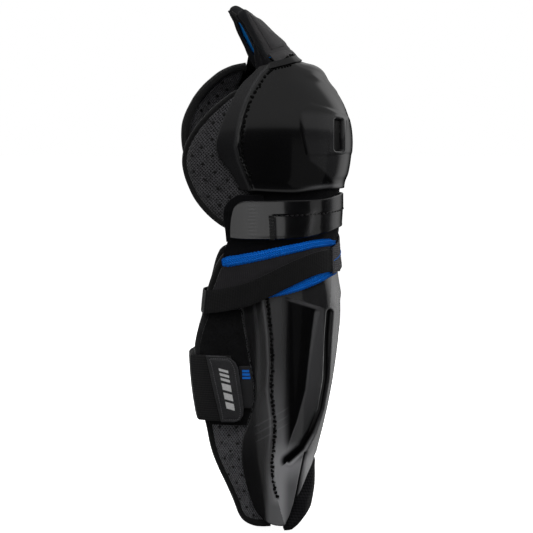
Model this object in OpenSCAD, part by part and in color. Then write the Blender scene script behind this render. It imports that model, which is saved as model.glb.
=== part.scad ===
// Hockey shin guard, senior 15 in size, one leg.
// Row frame: +X is the front of the shin, +Z runs up the leg towards the thigh,
// +Y is the wearer's left. The leg's axis is the Z axis and Z = 0 is the lowest edge.
// Every layer is a patch of one of three skins (shin, knee, thigh flap), offset along the
// skin's own normal, so the layers nest with a small gap and never overlap.

/* [Shells] */
// Wall of the moulded shin shell, knee cap and knee band
shell_t = 2.6; // [2:0.1:3]
// Height of the top edge of the shin shell
shell_top = 262; // [256:1:264]
// Height of the front notch over the skate tongue
notch_z = 72; // [66:1:76]

/* [Liners] */
// Outer face of the liner foam, below the shell's outer face
liner_out = 3.4; // [3.3:0.1:4]
// Inner face of the liner foam, below the shell's outer face
liner_in = 12.5; // [11:0.5:13]
// Inner face of the wing foam, below the shell's outer face
wing_in = 12; // [10:0.5:12]

/* [Straps] */
// Width of the upper elastic strap
upper_strap_w = 21; // [18:1:23]
// Height of the lower elastic strap
lower_strap_w = 62; // [54:1:62]
// Thickness of both elastic straps
strap_t = 1.8; // [1.4:0.1:2]

/* [Thigh flap] */
// Thickness of the flap's outer plate
flap_plate_t = 2.2; // [1.6:0.1:2.4]
// Thickness of the flap's foam
flap_foam_t = 6.4; // [5:0.2:7]

/* [Hidden] */

// ---- skin tables: height, front x, right back x, left back x, half width, centre x ----
SHIN = [
  [0, 34, -36, -30, 42, 6], [20, 38, -44, -36, 44, 4], [50, 44, -56, -47, 47, 2],
  [75, 49, -66, -56, 50, 0], [100, 55, -73, -62, 53, 0], [125, 60.5, -80, -67, 56, 0],
  [150, 65, -84, -70, 58.5, 0], [180, 69, -85, -71, 61, 0], [210, 71, -83, -69, 62.5, 2],
  [235, 69, -78, -65, 63, 4], [262, 65.5, -72, -60, 62.5, 6], [290, 64, -68, -56, 62, 8]
];
KNEE = [
  [262, 68, -70, -62, 66, 4], [275, 71.5, -76, -68, 67, 4], [290, 73.5, -84, -74, 68, 4],
  [305, 74.5, -90, -78, 69, 3], [326, 75, -94, -82, 70, 2], [340, 79.5, -96, -86, 71, 0],
  [355, 82, -97, -88, 71.5, -2], [370, 83, -97, -89, 71.5, -3], [385, 81.5, -95, -89, 71, -3],
  [400, 77, -92, -88, 69.5, -3], [412, 71, -88, -86, 67, -3], [424, 62.5, -82, -82, 63, -3],
  [435, 53, -76, -78, 57, -2], [447, 38, -68, -70, 51, -1], [456, 28, -62, -62, 46, -1]
];

// ---- edge tables ----
// Rear edge of the shin shell: height, angle from the front
SHELL_EDGE = [[0, 90], [6, 97], [13, 105], [25, 114], [45, 119.5], [64, 121], [82, 120],
  [95, 117.5], [105, 113], [118, 109], [132, 106.5], [146, 106.5], [165, 109], [185, 112],
  [213, 117], [240, 119], [262, 119]];
// Lower edge of the shin shell: share of the rear edge's angle, height over the notch's floor
SHELL_FOOT = [[0, 1], [0.3, 1], [0.42, 1], [0.47, 0.97], [0.502, 0.81], [0.537, 0.61],
  [0.563, 0.476], [0.631, 0.3], [0.7, 0.185], [0.76, 0.13], [0.84, 0.1], [0.93, 0.11], [1, 0.15]];
// Rear edge of the knee cap: share of its height, angle from the front
CAP_EDGE = [[0, 116], [0.15, 121], [0.3, 128], [0.45, 127.5], [0.65, 121.5], [0.85, 114], [1, 101]];
// Trailing edges of the wings: height, angle from the front
R_CALF = [[8, 126], [15, 135], [30, 139], [45, 143.5], [60, 148], [82, 151], [105, 151.5],
  [125, 153.5], [150, 154.5], [180, 152.5], [196, 149.5], [208, 147], [232, 146], [245, 144], [256, 141], [268, 135]];
L_CALF = [[8, 124], [15, 132], [30, 136], [45, 140], [60, 144], [82, 148], [105, 149],
  [125, 150], [150, 151], [180, 150], [196, 147], [208, 143.8], [232, 141], [245, 139], [256, 137], [268, 131]];
R_KNEE = [[288, 124], [295, 134], [307, 143], [324, 151], [347, 155], [362, 153], [384, 144],
  [403, 132], [415, 122], [420, 116]];
L_KNEE = [[292, 117], [300, 126], [315, 135], [333, 143], [350, 149.5], [366, 153], [384, 153], [395, 149.5],
  [404, 145.6], [413, 142], [422, 137.5], [430, 133], [437, 127.5], [442, 121]];
// Centre line of the upper strap, right side: angle, height
R_STRAP = [[16, 256.5], [32, 257.5], [45, 258], [60, 256], [72, 251.5], [85, 244.8], [97, 238], [106, 233],
  [115, 228.5], [125, 225], [135, 222.3], [150, 219.6]];
L_STRAP = [[96, 232], [115, 225], [135, 220], [150, 218]];
// Upper and lower edges of the wrap panel: angle, height
PANEL_TOP = [[20, 277], [40, 277.5], [60, 276.5], [75, 275], [90, 272], [105, 269], [115, 267], [133, 263]];
PANEL_LOW = [[20, 245], [40, 242], [60, 235.5], [80, 229], [95, 225.5], [115, 223], [133, 226]];

// Lower and upper edges of the knee band, lower edge of the knee cap: angle, height
BAND_LOW = [[0, 289], [15, 289], [30, 288], [45, 285], [60, 282.3], [75, 280.3], [90, 279.6], [126, 279.4]];
BAND_TOP = [[0, 321], [20, 320.8], [32, 319.8], [45, 317.8], [60, 316.9], [90, 316.6], [126, 316]];
CAP_LOW = [[0, 329], [15, 329.2], [30, 329], [45, 327.2], [60, 324.6], [75, 322.6], [90, 323], [105, 324.2], [118, 326]];

// ---- interpolation ----
function at(T, x, i = 0) = (i >= len(T) - 2 || x < T[i + 1][0]) ? i : at(T, x, i + 1);
function slope(T, i, k) =
  i == 0 ? (T[1][k] - T[0][k]) / (T[1][0] - T[0][0]) :
  i == len(T) - 1 ? (T[i][k] - T[i - 1][k]) / (T[i][0] - T[i - 1][0]) :
  (T[i + 1][k] - T[i - 1][k]) / (T[i + 1][0] - T[i - 1][0]);
// Smooth value of column k of table T at x, straight past both ends
function tab(T, x, k = 1) =
  let (i = at(T, x), h = T[i + 1][0] - T[i][0], t = (x - T[i][0]) / h,
    a = T[i][k], b = T[i + 1][k], m = slope(T, i, k) * h, n = slope(T, i + 1, k) * h)
  t < 0 ? a + m * t : t > 1 ? b + n * (t - 1) :
  (2 * t * t * t - 3 * t * t + 1) * a + (t * t * t - 2 * t * t + t) * m
  + (3 * t * t - 2 * t * t * t) * b + (t * t * t - t * t) * n;
function mix(a, b, t) = a + (b - a) * t;
function unit(v) = v / norm(v);

// ---- skins ----
// Point of an oval skin at angle p (right side negative) and height z
function oval(T, p, z) =
  let (c = cos(p), s = sin(p), xc = tab(T, z, 5), w = tab(T, z, 4),
    a = c > 0 ? tab(T, z, 1) - xc : xc - tab(T, z, p < 0 ? 2 : 3), n = c > 0 ? 2.1 : 2.5,
    r = pow(pow(abs(c) / a, n) + pow(abs(s) / w, n), -1 / n))
  [xc + r * c, r * s, z];
// The same point moved out by o along the skin's normal
function skin(T, p, z, o) =
  let (q = oval(T, p, z), n = unit(cross(oval(T, p + 1, z) - oval(T, p - 1, z), oval(T, p, z + 1) - oval(T, p, z - 1))))
  q + o * n;
// Thigh flap: u across from -1 to 1, v up from 0 to 1
function flap0(u, v) =
  let (xc = mix(28, -13, v) + 3 * v * (1 - v), zc = 457 + 37 * v, xe = mix(-7, -26, v), ze = mix(449, 497, v), w = mix(45, 33, v))
  [mix(xc, xe, u * u), w * u, mix(zc, ze, u * u)];
function flap(u, v, o) =
  let (n = unit(cross(flap0(u + 0.02, v) - flap0(u - 0.02, v), flap0(u, v + 0.02) - flap0(u, v - 0.02)))) flap0(u, v) + o * n;

// ---- solids ----
// Closed solid between two grids of points, A inside and B outside
module slab(A, B) {
  m = len(A); n = len(A[0]); k = m * n;
  i0 = floor((m - 1) / 2); j0 = floor((n - 1) / 2);
  flip = cross(A[i0 + 1][j0] - A[i0][j0], A[i0][j0 + 1] - A[i0][j0]) * (B[i0][j0] - A[i0][j0]) < 0;
  pts = concat([for (r = A) for (p = r) p], [for (r = B) for (p = r) p]);
  f1 = [for (i = [0:m - 2]) for (j = [0:n - 2]) let (a = i * n + j, b = a + n, c = b + 1, d = a + 1)
      each [[a, b, c], [a, c, d], [k + a, k + c, k + b], [k + a, k + d, k + c]]];
  f2 = [for (i = [0:m - 2]) let (a = i * n, b = a + n, e = a + n - 1, g = e + n)
      each [[a, k + a, k + b], [a, k + b, b], [e, k + g, k + e], [e, g, k + g]]];
  f3 = [for (j = [0:n - 2]) let (a = j, b = j + 1, e = (m - 1) * n + j, g = e + 1)
      each [[a, b, k + b], [a, k + b, k + a], [e, k + g, g], [e, k + e, k + g]]];
  all = concat(f1, f2, f3);
  polyhedron(pts, flip ? [for (f = all) [f[0], f[2], f[1]]] : all);
}
// Patch of a skin: f(u, v) gives [angle, height]; nu by nv cells between offsets o1 and o2
module patch(T, f, nu, nv, o1, o2) {
  g = [for (i = [0:nu]) [for (j = [0:nv]) f(i / nu, j / nv)]];
  slab([for (r = g) [for (q = r) skin(T, q[0], q[1], o1)]], [for (r = g) [for (q = r) skin(T, q[0], q[1], o2)]]);
}
module flap_patch(u1, u2, v1, v2, nu, nv, o1, o2) {
  slab([for (i = [0:nu]) [for (j = [0:nv]) flap(mix(u1, u2, i / nu), mix(v1, v2, j / nv), o1)]],
    [for (i = [0:nu]) [for (j = [0:nv]) flap(mix(u1, u2, i / nu), mix(v1, v2, j / nv), o2)]]);
}
// Thread between two points
module thread(p, q, d = 0.9) {
  z = unit(q - p); x = unit(cross(abs(z.z) < 0.9 ? [0, 0, 1] : [1, 0, 0], z)); y = cross(z, x);
  multmatrix([[x.x, y.x, z.x, p.x], [x.y, y.y, z.y, p.y], [x.z, y.z, z.z, p.z], [0, 0, 0, 1]])
    cylinder(d = d, h = norm(q - p), $fn = 24);
}
// Row of stitches along f(t) on skin T, lying o above it
module stitches(T, f, n, o, share = 0.62) {
  for (i = [0:n - 1]) {
    a = f(i / n); b = f((i + share) / n);
    thread(skin(T, a[0], a[1], o), skin(T, b[0], b[1], o));
  }
}

// ---- shin ----
function foot_z(u) = notch_z * tab(SHELL_FOOT, abs(u));
function shell_pz(u, v) = let (s = 2 * u - 1, z = mix(foot_z(s), shell_top - 16 * pow(abs(s), 8), v)) [s * tab(SHELL_EDGE, z), z];
module shin_shell() { color([0.05, 0.05, 0.055]) patch(SHIN, function(u, v) shell_pz(u, v), 26, 20, -shell_t, 0); }
module shin_liner_center() { color([0.16, 0.16, 0.17]) patch(SHIN, function(u, v) [mix(-36, 36, u), mix(notch_z + 6, 250, v)], 6, 12, -liner_in, -liner_out); }
module shin_liner_side(s) {
  color([0.16, 0.16, 0.17]) patch(SHIN, function(u, v) [s * mix(mix(62, 40, min(1, v * 2.2)), 88, u), mix(mix(16, 12, u), 246, v)], 5, 14, -liner_in, -liner_out);
}
module calf_wing(s, T) {
  color([0.17, 0.17, 0.18]) patch(SHIN, function(u, v) let (z = mix(8, 266, v)) [s * mix(91.5, tab(T, z) - 3.2, u), z], 8, 17, -wing_in, -liner_out);
}
module calf_binding(s, T) {
  color([0.06, 0.06, 0.07]) patch(SHIN, function(u, v) let (z = mix(8, 266, v)) [s * (tab(T, z) + mix(-2.7, 0.6, u)), z], 1, 17, -wing_in - 0.8, -liner_out + 0.6);
}
module loop_panel() {
  color([0.03, 0.03, 0.03]) patch(SHIN, function(u, v) let (z = mix(104, 214, v)) [-mix(tab(SHELL_EDGE, z) + 1.6, tab(R_CALF, z) - 3.4, u), z], 6, 9, -2.9, -1.7);
}
module left_loop_patch() {
  color([0.03, 0.03, 0.03]) patch(SHIN, function(u, v) let (z = mix(200, 246, v)) [mix(tab(SHELL_EDGE, z) + 1.6, tab(L_CALF, z) - 3.6, u), z], 4, 5, -2.9, -1.7);
}
// Wrap panel with its two bindings, between the strap's anchor and the right wing
function panel_z(p, e) = mix(tab(PANEL_LOW, p), tab(PANEL_TOP, p), e);
module wrap_panel() {
  color([0.12, 0.12, 0.13]) patch(SHIN, function(u, v) let (p = mix(22, 132, u)) [-p, mix(tab(PANEL_LOW, p) + 8.3, tab(PANEL_TOP, p) - 8.3, v)], 14, 3, 0.6, 1.5);
}
module wrap_panel_upper_binding() {
  color([0.03, 0.36, 0.80]) patch(SHIN, function(u, v) let (p = mix(19, 133, u)) [-p, tab(PANEL_TOP, p) - 8 + 8 * v], 16, 2, 0.6, 2.4);
}
module wrap_panel_lower_binding() {
  color([0.03, 0.36, 0.80]) patch(SHIN, function(u, v) let (p = mix(19, 118, u)) [-p, tab(PANEL_LOW, p) + 8 * v], 14, 2, 0.6, 2.0);
}
module strap_anchor_patch() {
  color([0.10, 0.10, 0.11]) patch(SHIN, function(u, v) let (p = mix(38, -14, u)) [-p, mix(mix(246, 256, u), mix(268, 285, u), v)], 7, 3, 5.0, 6.4);
}
// The strap lies on the panel's bindings at the side and drops to the wing behind them
function lift(p) = p < 126 ? 2.8 : mix(2.8, 0.9, min(1, (p - 126) / 16));
// Upright height of the strap where its centre line T climbs
function strap_h(T, p) = upper_strap_w * sqrt(1 + pow((tab(T, p + 1) - tab(T, p - 1)) / 2.3, 2));
function strap_rail(o, e) = let (a = skin(SHIN, -146, tab(R_STRAP, 146) + (e - 0.5) * strap_h(R_STRAP, 146), 0.9 + o), b = skin(SHIN, 141, tab(L_STRAP, 141) + (e - 0.5) * strap_h(L_STRAP, 141), 0.9 + o)) concat(
  [for (p = [18:6.4:146.1]) skin(SHIN, -p, tab(R_STRAP, p) + (e - 0.5) * strap_h(R_STRAP, p), lift(p) + o)],
  [for (t = [0.12:0.19:0.9]) mix(a, b, t) - [1.6 * sin(180 * t), 0, 0]],
  [for (p = [141, 138.4]) skin(SHIN, p, tab(L_STRAP, p) + (e - 0.5) * strap_h(L_STRAP, p), 0.9 + o)]);
module upper_strap() {
  g = [for (e = [0, 0.5, 1]) strap_rail(0, e)];
  k = [for (e = [0, 0.5, 1]) strap_rail(strap_t, e)];
  color([0.07, 0.07, 0.075]) slab([for (i = [0:len(g[0]) - 1]) [for (e = g) e[i]]], [for (i = [0:len(k[0]) - 1]) [for (e = k) e[i]]]);
}
function low_rail(o, e) = let (z0 = 109, h = lower_strap_w) concat(
  [for (p = [104:6.6:150]) skin(SHIN, p, z0 + e * h, o)],
  [for (t = [0.12:0.19:0.9]) mix(skin(SHIN, 150, z0 + e * h, o), skin(SHIN, -153, z0 + e * h, o), t) - [3.4 * sin(180 * t), 0, 0]],
  [for (p = [153, 151.4]) skin(SHIN, -p, z0 + e * h, o)]);
module lower_strap() {
  g = [for (e = [0, 0.33, 0.67, 1]) low_rail(0.2, e)];
  k = [for (e = [0, 0.33, 0.67, 1]) low_rail(0.2 + strap_t, e)];
  color([0.05, 0.05, 0.055]) slab([for (i = [0:len(g[0]) - 1]) [for (e = g) e[i]]], [for (i = [0:len(k[0]) - 1]) [for (e = k) e[i]]]);
}
module lower_strap_anchor() {
  color([0.09, 0.09, 0.10]) patch(SHIN, function(u, v) [mix(101, 122, u), mix(107, 173, v)], 3, 4, 2.6, 3.8);
}
module woven_label() {
  color([0.16, 0.16, 0.17]) patch(SHIN, function(u, v) let (z = mix(122, 160, v)) [-mix(tab(SHELL_EDGE, z) + 1.8, 118.5, u), z], 2, 4, -1.3, -0.5);
}
module lower_gaiter() {
  color([0.03, 0.03, 0.035]) patch(SHIN, function(u, v) let (a = abs(2 * u - 1)) [mix(-99, 99, u), mix(mix(257, 269.2, pow(min(1, a / 0.87), 16)), 280, v)], 24, 3, -4.4, -3.2);
}
// Long seam down each side of the shell
function seam_pz(t, s) = let (z = mix(30, 222, t)) [s * tab([[30, 88], [60, 93], [90, 92], [130, 88], [170, 90], [222, 93]], z), z];
module shin_stitching() {
  color([0.02, 0.02, 0.02]) for (s = [-1, 1]) stitches(SHIN, function(t) seam_pz(t, s), 22, 0.6);
}

// ---- instep pad ----
function instep_half(z) = tab([[2, 68], [12, 64], [22, 57], [38, 49], [54, 43], [66, 37]], z);
function instep_face_half(z) = tab([[0, 76], [10, 72], [22, 66], [34, 61.5], [44, 59.5], [58, 55], [68, 50]], z);
module instep_pad() {
  color([0.10, 0.10, 0.11]) patch(SHIN, function(u, v) let (z = mix(2, 65, v)) [mix(-1, 1, u) * instep_half(z), z], 8, 9, -11, -1.2);
}
module instep_pad_face() {
  color([0.08, 0.08, 0.09]) patch(SHIN, function(u, v) let (z = mix(0, 68, v)) [mix(-1, 1, u) * instep_face_half(z), z], 12, 10, -0.8, 3.4);
}

// ---- knee band ----
module knee_band_shell() {
  color([0.07, 0.07, 0.075]) patch(KNEE, function(u, v) let (s = 2 * u - 1, a = abs(s),
      lo = tab(BAND_LOW, 126 * a) + 1.5 * pow(a, 16), hi = tab(BAND_TOP, 126 * a) - 8 * pow(a, 18)) [s * mix(126, 120.5, v * v), mix(lo, hi, v)], 26, 5, -shell_t, 0);
}
module knee_band_pad() {
  color([0.10, 0.10, 0.11]) patch(KNEE, function(u, v) let (s = 2 * u - 1, a = abs(s)) [s * 84, mix(284 + 8 * (1 - a), 311 + 5 * (1 - a), v)], 12, 3, -8, -3.2);
}
module upper_gaiter() {
  color([0.03, 0.03, 0.035]) patch(KNEE, function(u, v) let (s = 2 * u - 1, a = abs(s)) [s * 100, mix(315 + 5.5 * (1 - a), 327.5, v)], 18, 2, -6.4, -5);
}
module band_stitching() {
  color([0.02, 0.02, 0.02]) stitches(KNEE, function(t) [mix(-92, 92, t), 302 + 5 * pow(1 - abs(2 * t - 1), 1.6)], 22, 0.6);
  color([0.02, 0.02, 0.02]) for (s = [-1, 1]) stitches(KNEE, function(t) [s * 96, mix(281, 304, t)], 5, 0.6, 0.8);
}

// ---- knee cap ----
function cap_z(u, v) = let (a = abs(u)) mix(tab(CAP_LOW, 116 * a), 455.5 - 14 * pow(a, 2), v);
function cap_pz(u, v) = let (s = 2 * u - 1) [s * tab(CAP_EDGE, v), cap_z(s, v)];
module knee_cap_shell() { color([0.05, 0.05, 0.055]) patch(KNEE, function(u, v) cap_pz(u, v), 26, 18, -shell_t, 0); }
module knee_liner() {
  color([0.16, 0.16, 0.17]) patch(KNEE, function(u, v) let (s = 2 * u - 1) [s * 82, mix(335, 426, v)], 14, 8, -liner_in, -liner_out);
}
module patella_pad() {
  color([0.20, 0.20, 0.21]) patch(KNEE, function(u, v) let (s = 2 * u - 1) [s * mix(30, 36, 1 - pow(2 * v - 1, 2)), mix(352, 404, v)], 6, 5, -17.5, -13.2);
}
module flap_seam_strip() {
  color([0.10, 0.10, 0.105]) patch(KNEE, function(u, v) let (s = 2 * u - 1) [s * 88, cap_z(s * 88 / 101, 1) + mix(-7, -0.6, v)], 14, 1, 0.5, 1.9);
}
// Seam beside the knee cap's rim
function cap_seam(t) = let (s = 2 * t - 1, a = abs(s), v = a > 0.42 ? 1 - (a - 0.42) / 0.58 : 1)
  [(s < 0 ? -1 : 1) * (a > 0.42 ? tab(CAP_EDGE, v) - mix(13, 18, 1 - v) : a / 0.42 * (tab(CAP_EDGE, 1) - 13)), cap_z(a > 0.42 ? 0.85 : a / 0.42 * 0.85, v) - 11];
module cap_stitching() {
  color([0.02, 0.02, 0.02]) for (s = [-1, 1]) stitches(KNEE, function(t) [s * (tab(CAP_EDGE, mix(0.08, 0.88, t)) - 17), mix(333, 431, t)], 20, 0.6);
}

// ---- knee wings ----
module knee_wing(s, T) {
  color([0.17, 0.17, 0.18]) patch(KNEE, function(u, v) let (z = mix(T[0][0], T[len(T) - 1][0], v)) [s * mix(mix(111, 105, v), tab(T, z) - 2.8, u), z], 7, 14, -wing_in - 1, -4.4);
}
module knee_wing_binding(s, T) {
  color([0.06, 0.06, 0.07]) patch(KNEE, function(u, v) let (z = mix(T[0][0], T[len(T) - 1][0], v)) [s * (tab(T, z) + mix(-2.3, 0.4, u)), z], 1, 14, -wing_in - 1.6, -3.8);
}

// ---- thigh flap ----
module flap_plate() { color([0.16, 0.16, 0.17]) flap_patch(-0.94, 0.94, 0.02, 0.95, 12, 5, -flap_plate_t, 0); }
module flap_pad() { color([0.10, 0.10, 0.11]) flap_patch(-0.92, 0.92, 0.05, 0.94, 12, 4, -flap_plate_t - 0.4 - flap_foam_t, -flap_plate_t - 0.4); }
module flap_lining() { color([0.03, 0.36, 0.80]) flap_patch(-0.92, 0.92, 0.08, 0.94, 12, 4, -flap_plate_t - flap_foam_t - 1.8, -flap_plate_t - flap_foam_t - 0.8); }
// Bound edge round the two sides and the top of the flap, one strip
module flap_binding() {
  n = 8; t = 11;
  e = concat([for (i = [0:n]) [-1, mix(0.06, 0.9, i / n)]], [[-0.97, 0.96]],
    [for (i = [0:n]) [mix(-0.9, 0.9, i / n), 1]], [[0.97, 0.96]], [for (i = [n:-1:0]) [1, mix(0.06, 0.9, i / n)]]);
  f = concat([for (i = [0:n]) [-0.952, mix(0.06, 0.9, i / n)]], [[-0.948, 0.96]],
    [for (i = [0:n]) [mix(-0.9, 0.9, i / n), 0.963]], [[0.948, 0.96]], [for (i = [n:-1:0]) [0.952, mix(0.06, 0.9, i / n)]]);
  color([0.06, 0.06, 0.07]) slab([for (i = [0:len(e) - 1]) [flap(f[i][0], f[i][1], -t), flap(e[i][0], e[i][1], -t)]],
    [for (i = [0:len(e) - 1]) [flap(f[i][0], f[i][1], 0.6), flap(e[i][0], e[i][1], 0.6)]]);
}

// ---- strap tabs ----
module upper_tab_webbing() {
  color([0.07, 0.07, 0.075]) patch(SHIN, function(u, v) let (p = mix(97, 136.2, u)) [p, tab(L_STRAP, p) + (v - 0.5) * strap_h(L_STRAP, p)], 8, 2, 0.9, 0.9 + strap_t);
}
module upper_tab_hook() {
  color([0.02, 0.02, 0.02]) patch(SHIN, function(u, v) let (p = mix(121, 133, u)) [p, tab(L_STRAP, p) + (v - 0.5) * (upper_strap_w - 3)], 4, 2, -1.3, 0.5);
}
module lower_tab_elastic() {
  color([0.05, 0.05, 0.055]) patch(SHIN, function(u, v) [-mix(mix(119, 124, v), 149.4, u), 109 + v * lower_strap_w], 6, 4, 0.2, 0.2 + strap_t);
}
function tab_front(v) = v < 0.14 ? mix(124, 116.5, v / 0.14) : v > 0.86 ? mix(120, 127, (v - 0.86) / 0.14) : mix(116.5, 120, (v - 0.14) / 0.72);
module lower_tab_plate() {
  color([0.22, 0.22, 0.23]) patch(SHIN, function(u, v) [-mix(tab_front(v), mix(134.5, 141, v), u), mix(108.5, 171.5, v)], 4, 7, 0.6 + strap_t, 2.8 + strap_t);
}
module lower_tab_hook() {
  color([0.02, 0.02, 0.02]) patch(SHIN, function(u, v) [-mix(mix(121.5, 126, v), 139, u), mix(113, 167, v)], 4, 4, -1.3, -0.2);
}

shin_shell();
shin_liner_center();
shin_liner_side(-1);  // shin_liner_right
shin_liner_side(1);  // shin_liner_left
calf_wing(-1, R_CALF);  // right_calf_wing
calf_binding(-1, R_CALF);  // right_calf_wing_binding
calf_wing(1, L_CALF);  // left_calf_wing
calf_binding(1, L_CALF);  // left_calf_wing_binding
loop_panel();
left_loop_patch();
wrap_panel();
wrap_panel_upper_binding();
wrap_panel_lower_binding();
strap_anchor_patch();
upper_strap();
lower_strap();
lower_strap_anchor();
woven_label();
lower_gaiter();
shin_stitching();
instep_pad();
instep_pad_face();
knee_band_shell();
knee_band_pad();
upper_gaiter();
band_stitching();
knee_cap_shell();
knee_liner();
patella_pad();
flap_seam_strip();
cap_stitching();
knee_wing(-1, R_KNEE);  // right_knee_wing
knee_wing_binding(-1, R_KNEE);  // right_knee_wing_binding
knee_wing(1, L_KNEE);  // left_knee_wing
knee_wing_binding(1, L_KNEE);  // left_knee_wing_binding
flap_plate();
flap_pad();
flap_lining();
flap_binding();
upper_tab_webbing();
upper_tab_hook();
lower_tab_elastic();
lower_tab_plate();
lower_tab_hook();
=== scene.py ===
import bpy, bmesh, math
import numpy as np
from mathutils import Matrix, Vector
from mathutils.bvhtree import BVHTree


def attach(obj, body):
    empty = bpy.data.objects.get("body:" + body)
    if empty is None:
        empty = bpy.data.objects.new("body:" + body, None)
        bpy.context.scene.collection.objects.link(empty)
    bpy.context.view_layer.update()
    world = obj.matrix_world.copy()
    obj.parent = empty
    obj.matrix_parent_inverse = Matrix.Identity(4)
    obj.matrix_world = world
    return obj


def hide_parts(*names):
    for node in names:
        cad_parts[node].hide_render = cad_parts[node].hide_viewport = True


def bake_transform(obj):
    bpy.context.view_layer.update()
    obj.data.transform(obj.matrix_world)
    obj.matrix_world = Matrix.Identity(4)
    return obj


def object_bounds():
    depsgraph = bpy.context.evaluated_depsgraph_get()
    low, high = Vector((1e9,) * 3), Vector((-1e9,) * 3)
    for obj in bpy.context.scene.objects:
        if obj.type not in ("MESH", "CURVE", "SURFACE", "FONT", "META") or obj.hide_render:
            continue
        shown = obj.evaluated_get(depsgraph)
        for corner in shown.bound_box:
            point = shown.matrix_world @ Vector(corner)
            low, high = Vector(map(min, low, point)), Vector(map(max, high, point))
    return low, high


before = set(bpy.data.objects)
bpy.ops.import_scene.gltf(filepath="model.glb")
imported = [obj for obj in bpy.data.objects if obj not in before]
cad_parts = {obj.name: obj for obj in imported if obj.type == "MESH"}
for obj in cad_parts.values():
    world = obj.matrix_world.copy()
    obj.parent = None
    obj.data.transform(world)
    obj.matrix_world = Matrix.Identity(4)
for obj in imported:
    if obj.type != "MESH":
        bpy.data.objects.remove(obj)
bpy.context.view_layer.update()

MM = 0.001

# ------------------------------------------------------------------ skins (the same tables as the CAD)
A_ = lambda r: np.array(r, float)
SHIN = A_([[0, 34, -36, -30, 42, 6], [20, 38, -44, -36, 44, 4], [50, 44, -56, -47, 47, 2],
  [75, 49, -66, -56, 50, 0], [100, 55, -73, -62, 53, 0], [125, 60.5, -80, -67, 56, 0],
  [150, 65, -84, -70, 58.5, 0], [180, 69, -85, -71, 61, 0], [210, 71, -83, -69, 62.5, 2],
  [235, 69, -78, -65, 63, 4], [262, 65.5, -72, -60, 62.5, 6], [290, 64, -68, -56, 62, 8]])
KNEE = A_([[262, 68, -70, -62, 66, 4], [275, 71.5, -76, -68, 67, 4], [290, 73.5, -84, -74, 68, 4],
  [305, 74.5, -90, -78, 69, 3], [326, 75, -94, -82, 70, 2], [340, 79.5, -96, -86, 71, 0],
  [355, 82, -97, -88, 71.5, -2], [370, 83, -97, -89, 71.5, -3], [385, 81.5, -95, -89, 71, -3],
  [400, 77, -92, -88, 69.5, -3], [412, 71, -88, -86, 67, -3], [424, 62.5, -82, -82, 63, -3],
  [435, 53, -76, -78, 57, -2], [447, 38, -68, -70, 51, -1], [456, 28, -62, -62, 46, -1]])
SHELL_EDGE = A_([[0, 90], [6, 97], [13, 105], [25, 114], [45, 119.5], [64, 121], [82, 120],
  [95, 117.5], [105, 113], [118, 109], [132, 106.5], [146, 106.5], [165, 109], [185, 112],
  [213, 117], [240, 119], [262, 119]])
SHELL_FOOT = A_([[0, 1], [0.13, 1.0], [0.187, 0.965], [0.233, 0.87], [0.311, 0.754], [0.376, 0.637], [0.433, 0.534], [0.476, 0.476],
  [0.515, 0.43], [0.574, 0.30], [0.65, 0.195], [0.735, 0.125], [0.82, 0.095], [0.90, 0.10], [0.96, 0.125], [1, 0.19]])
TONGUE = A_([[0, 82], [9.3, 74.3], [20.6, 63.9], [31.1, 59.9], [38.4, 51.2], [45.9, 45.0], [54.3, 37.5], [62.5, 28.2], [69.8, 22.6], [74, 18]])
PAD_LOW = A_([[0, 18.5], [20, 17.5], [32, 15.0], [45, 10.5], [60, 4.8], [70, 1.2], [80, 0.5], [90, 0.5]])
PAD_OUT = A_([[0, 5.6], [25, 5.5], [41, 5.1], [52.5, 3.4], [60.5, 1.8], [71, 0.6]])
CAP_EDGE = A_([[0, 116], [0.15, 121], [0.3, 128], [0.45, 127.5], [0.65, 121.5], [0.85, 114], [1, 101]])
R_CALF = A_([[8, 126], [15, 135], [30, 139], [45, 143.5], [60, 148], [82, 151], [105, 151.5],
  [125, 153.5], [150, 154.5], [180, 152.5], [196, 149.5], [208, 147], [232, 146], [245, 144], [256, 141], [268, 135]])
L_CALF = A_([[8, 124], [15, 132], [30, 136], [45, 140], [60, 144], [82, 148], [105, 149],
  [125, 150], [150, 151], [180, 150], [196, 147], [208, 143.8], [232, 141], [245, 139], [256, 137], [268, 131]])
R_KNEE = A_([[288, 124], [295, 134], [307, 143], [324, 151], [347, 155], [362, 153], [384, 144],
  [403, 132], [415, 122], [420, 116]])
L_KNEE = A_([[292, 117], [300, 126], [315, 135], [333, 143], [350, 149.5], [366, 153], [384, 153], [395, 149.5],
  [404, 145.6], [413, 142], [422, 137.5], [430, 133], [437, 127.5], [441, 121], [445.5, 110]])
R_STRAP = A_([[16, 256.5], [32, 257.5], [45, 258], [60, 256], [72, 251.5], [85, 244.8], [97, 238], [106, 233],
  [115, 228.5], [125, 225], [135, 222.3], [150, 219.6]])
L_STRAP = A_([[96, 231], [115, 223.5], [135, 217.5], [150, 215]])
PANEL_TOP = A_([[20, 277.3], [40, 279], [60, 278.6], [75, 276], [90, 273], [105, 269.6], [115, 267.3], [133, 263.3], [140, 262]])
PANEL_LOW = A_([[20, 245], [40, 242], [60, 235.5], [80, 229], [95, 225.5], [115, 223], [133, 226], [140, 230]])
BAND_LOW = A_([[0, 289], [15, 289], [30, 288], [45, 285], [60, 282.3], [75, 280.3], [90, 279.6], [126, 279.4]])
BAND_TOP = A_([[0, 321], [20, 320.8], [32, 319.8], [45, 317.8], [60, 316.9], [90, 316.6], [126, 316]])
CAP_LOW = A_([[0, 325.2], [15, 325.4], [30, 325.6], [45, 325.6], [60, 324.6], [75, 322.6], [90, 323], [105, 324.2], [118, 326]])
INSTEP = A_([[0.5, 77], [10, 75.5], [22, 69.5], [34, 65], [44, 62.5], [58, 59], [71, 55]])
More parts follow.
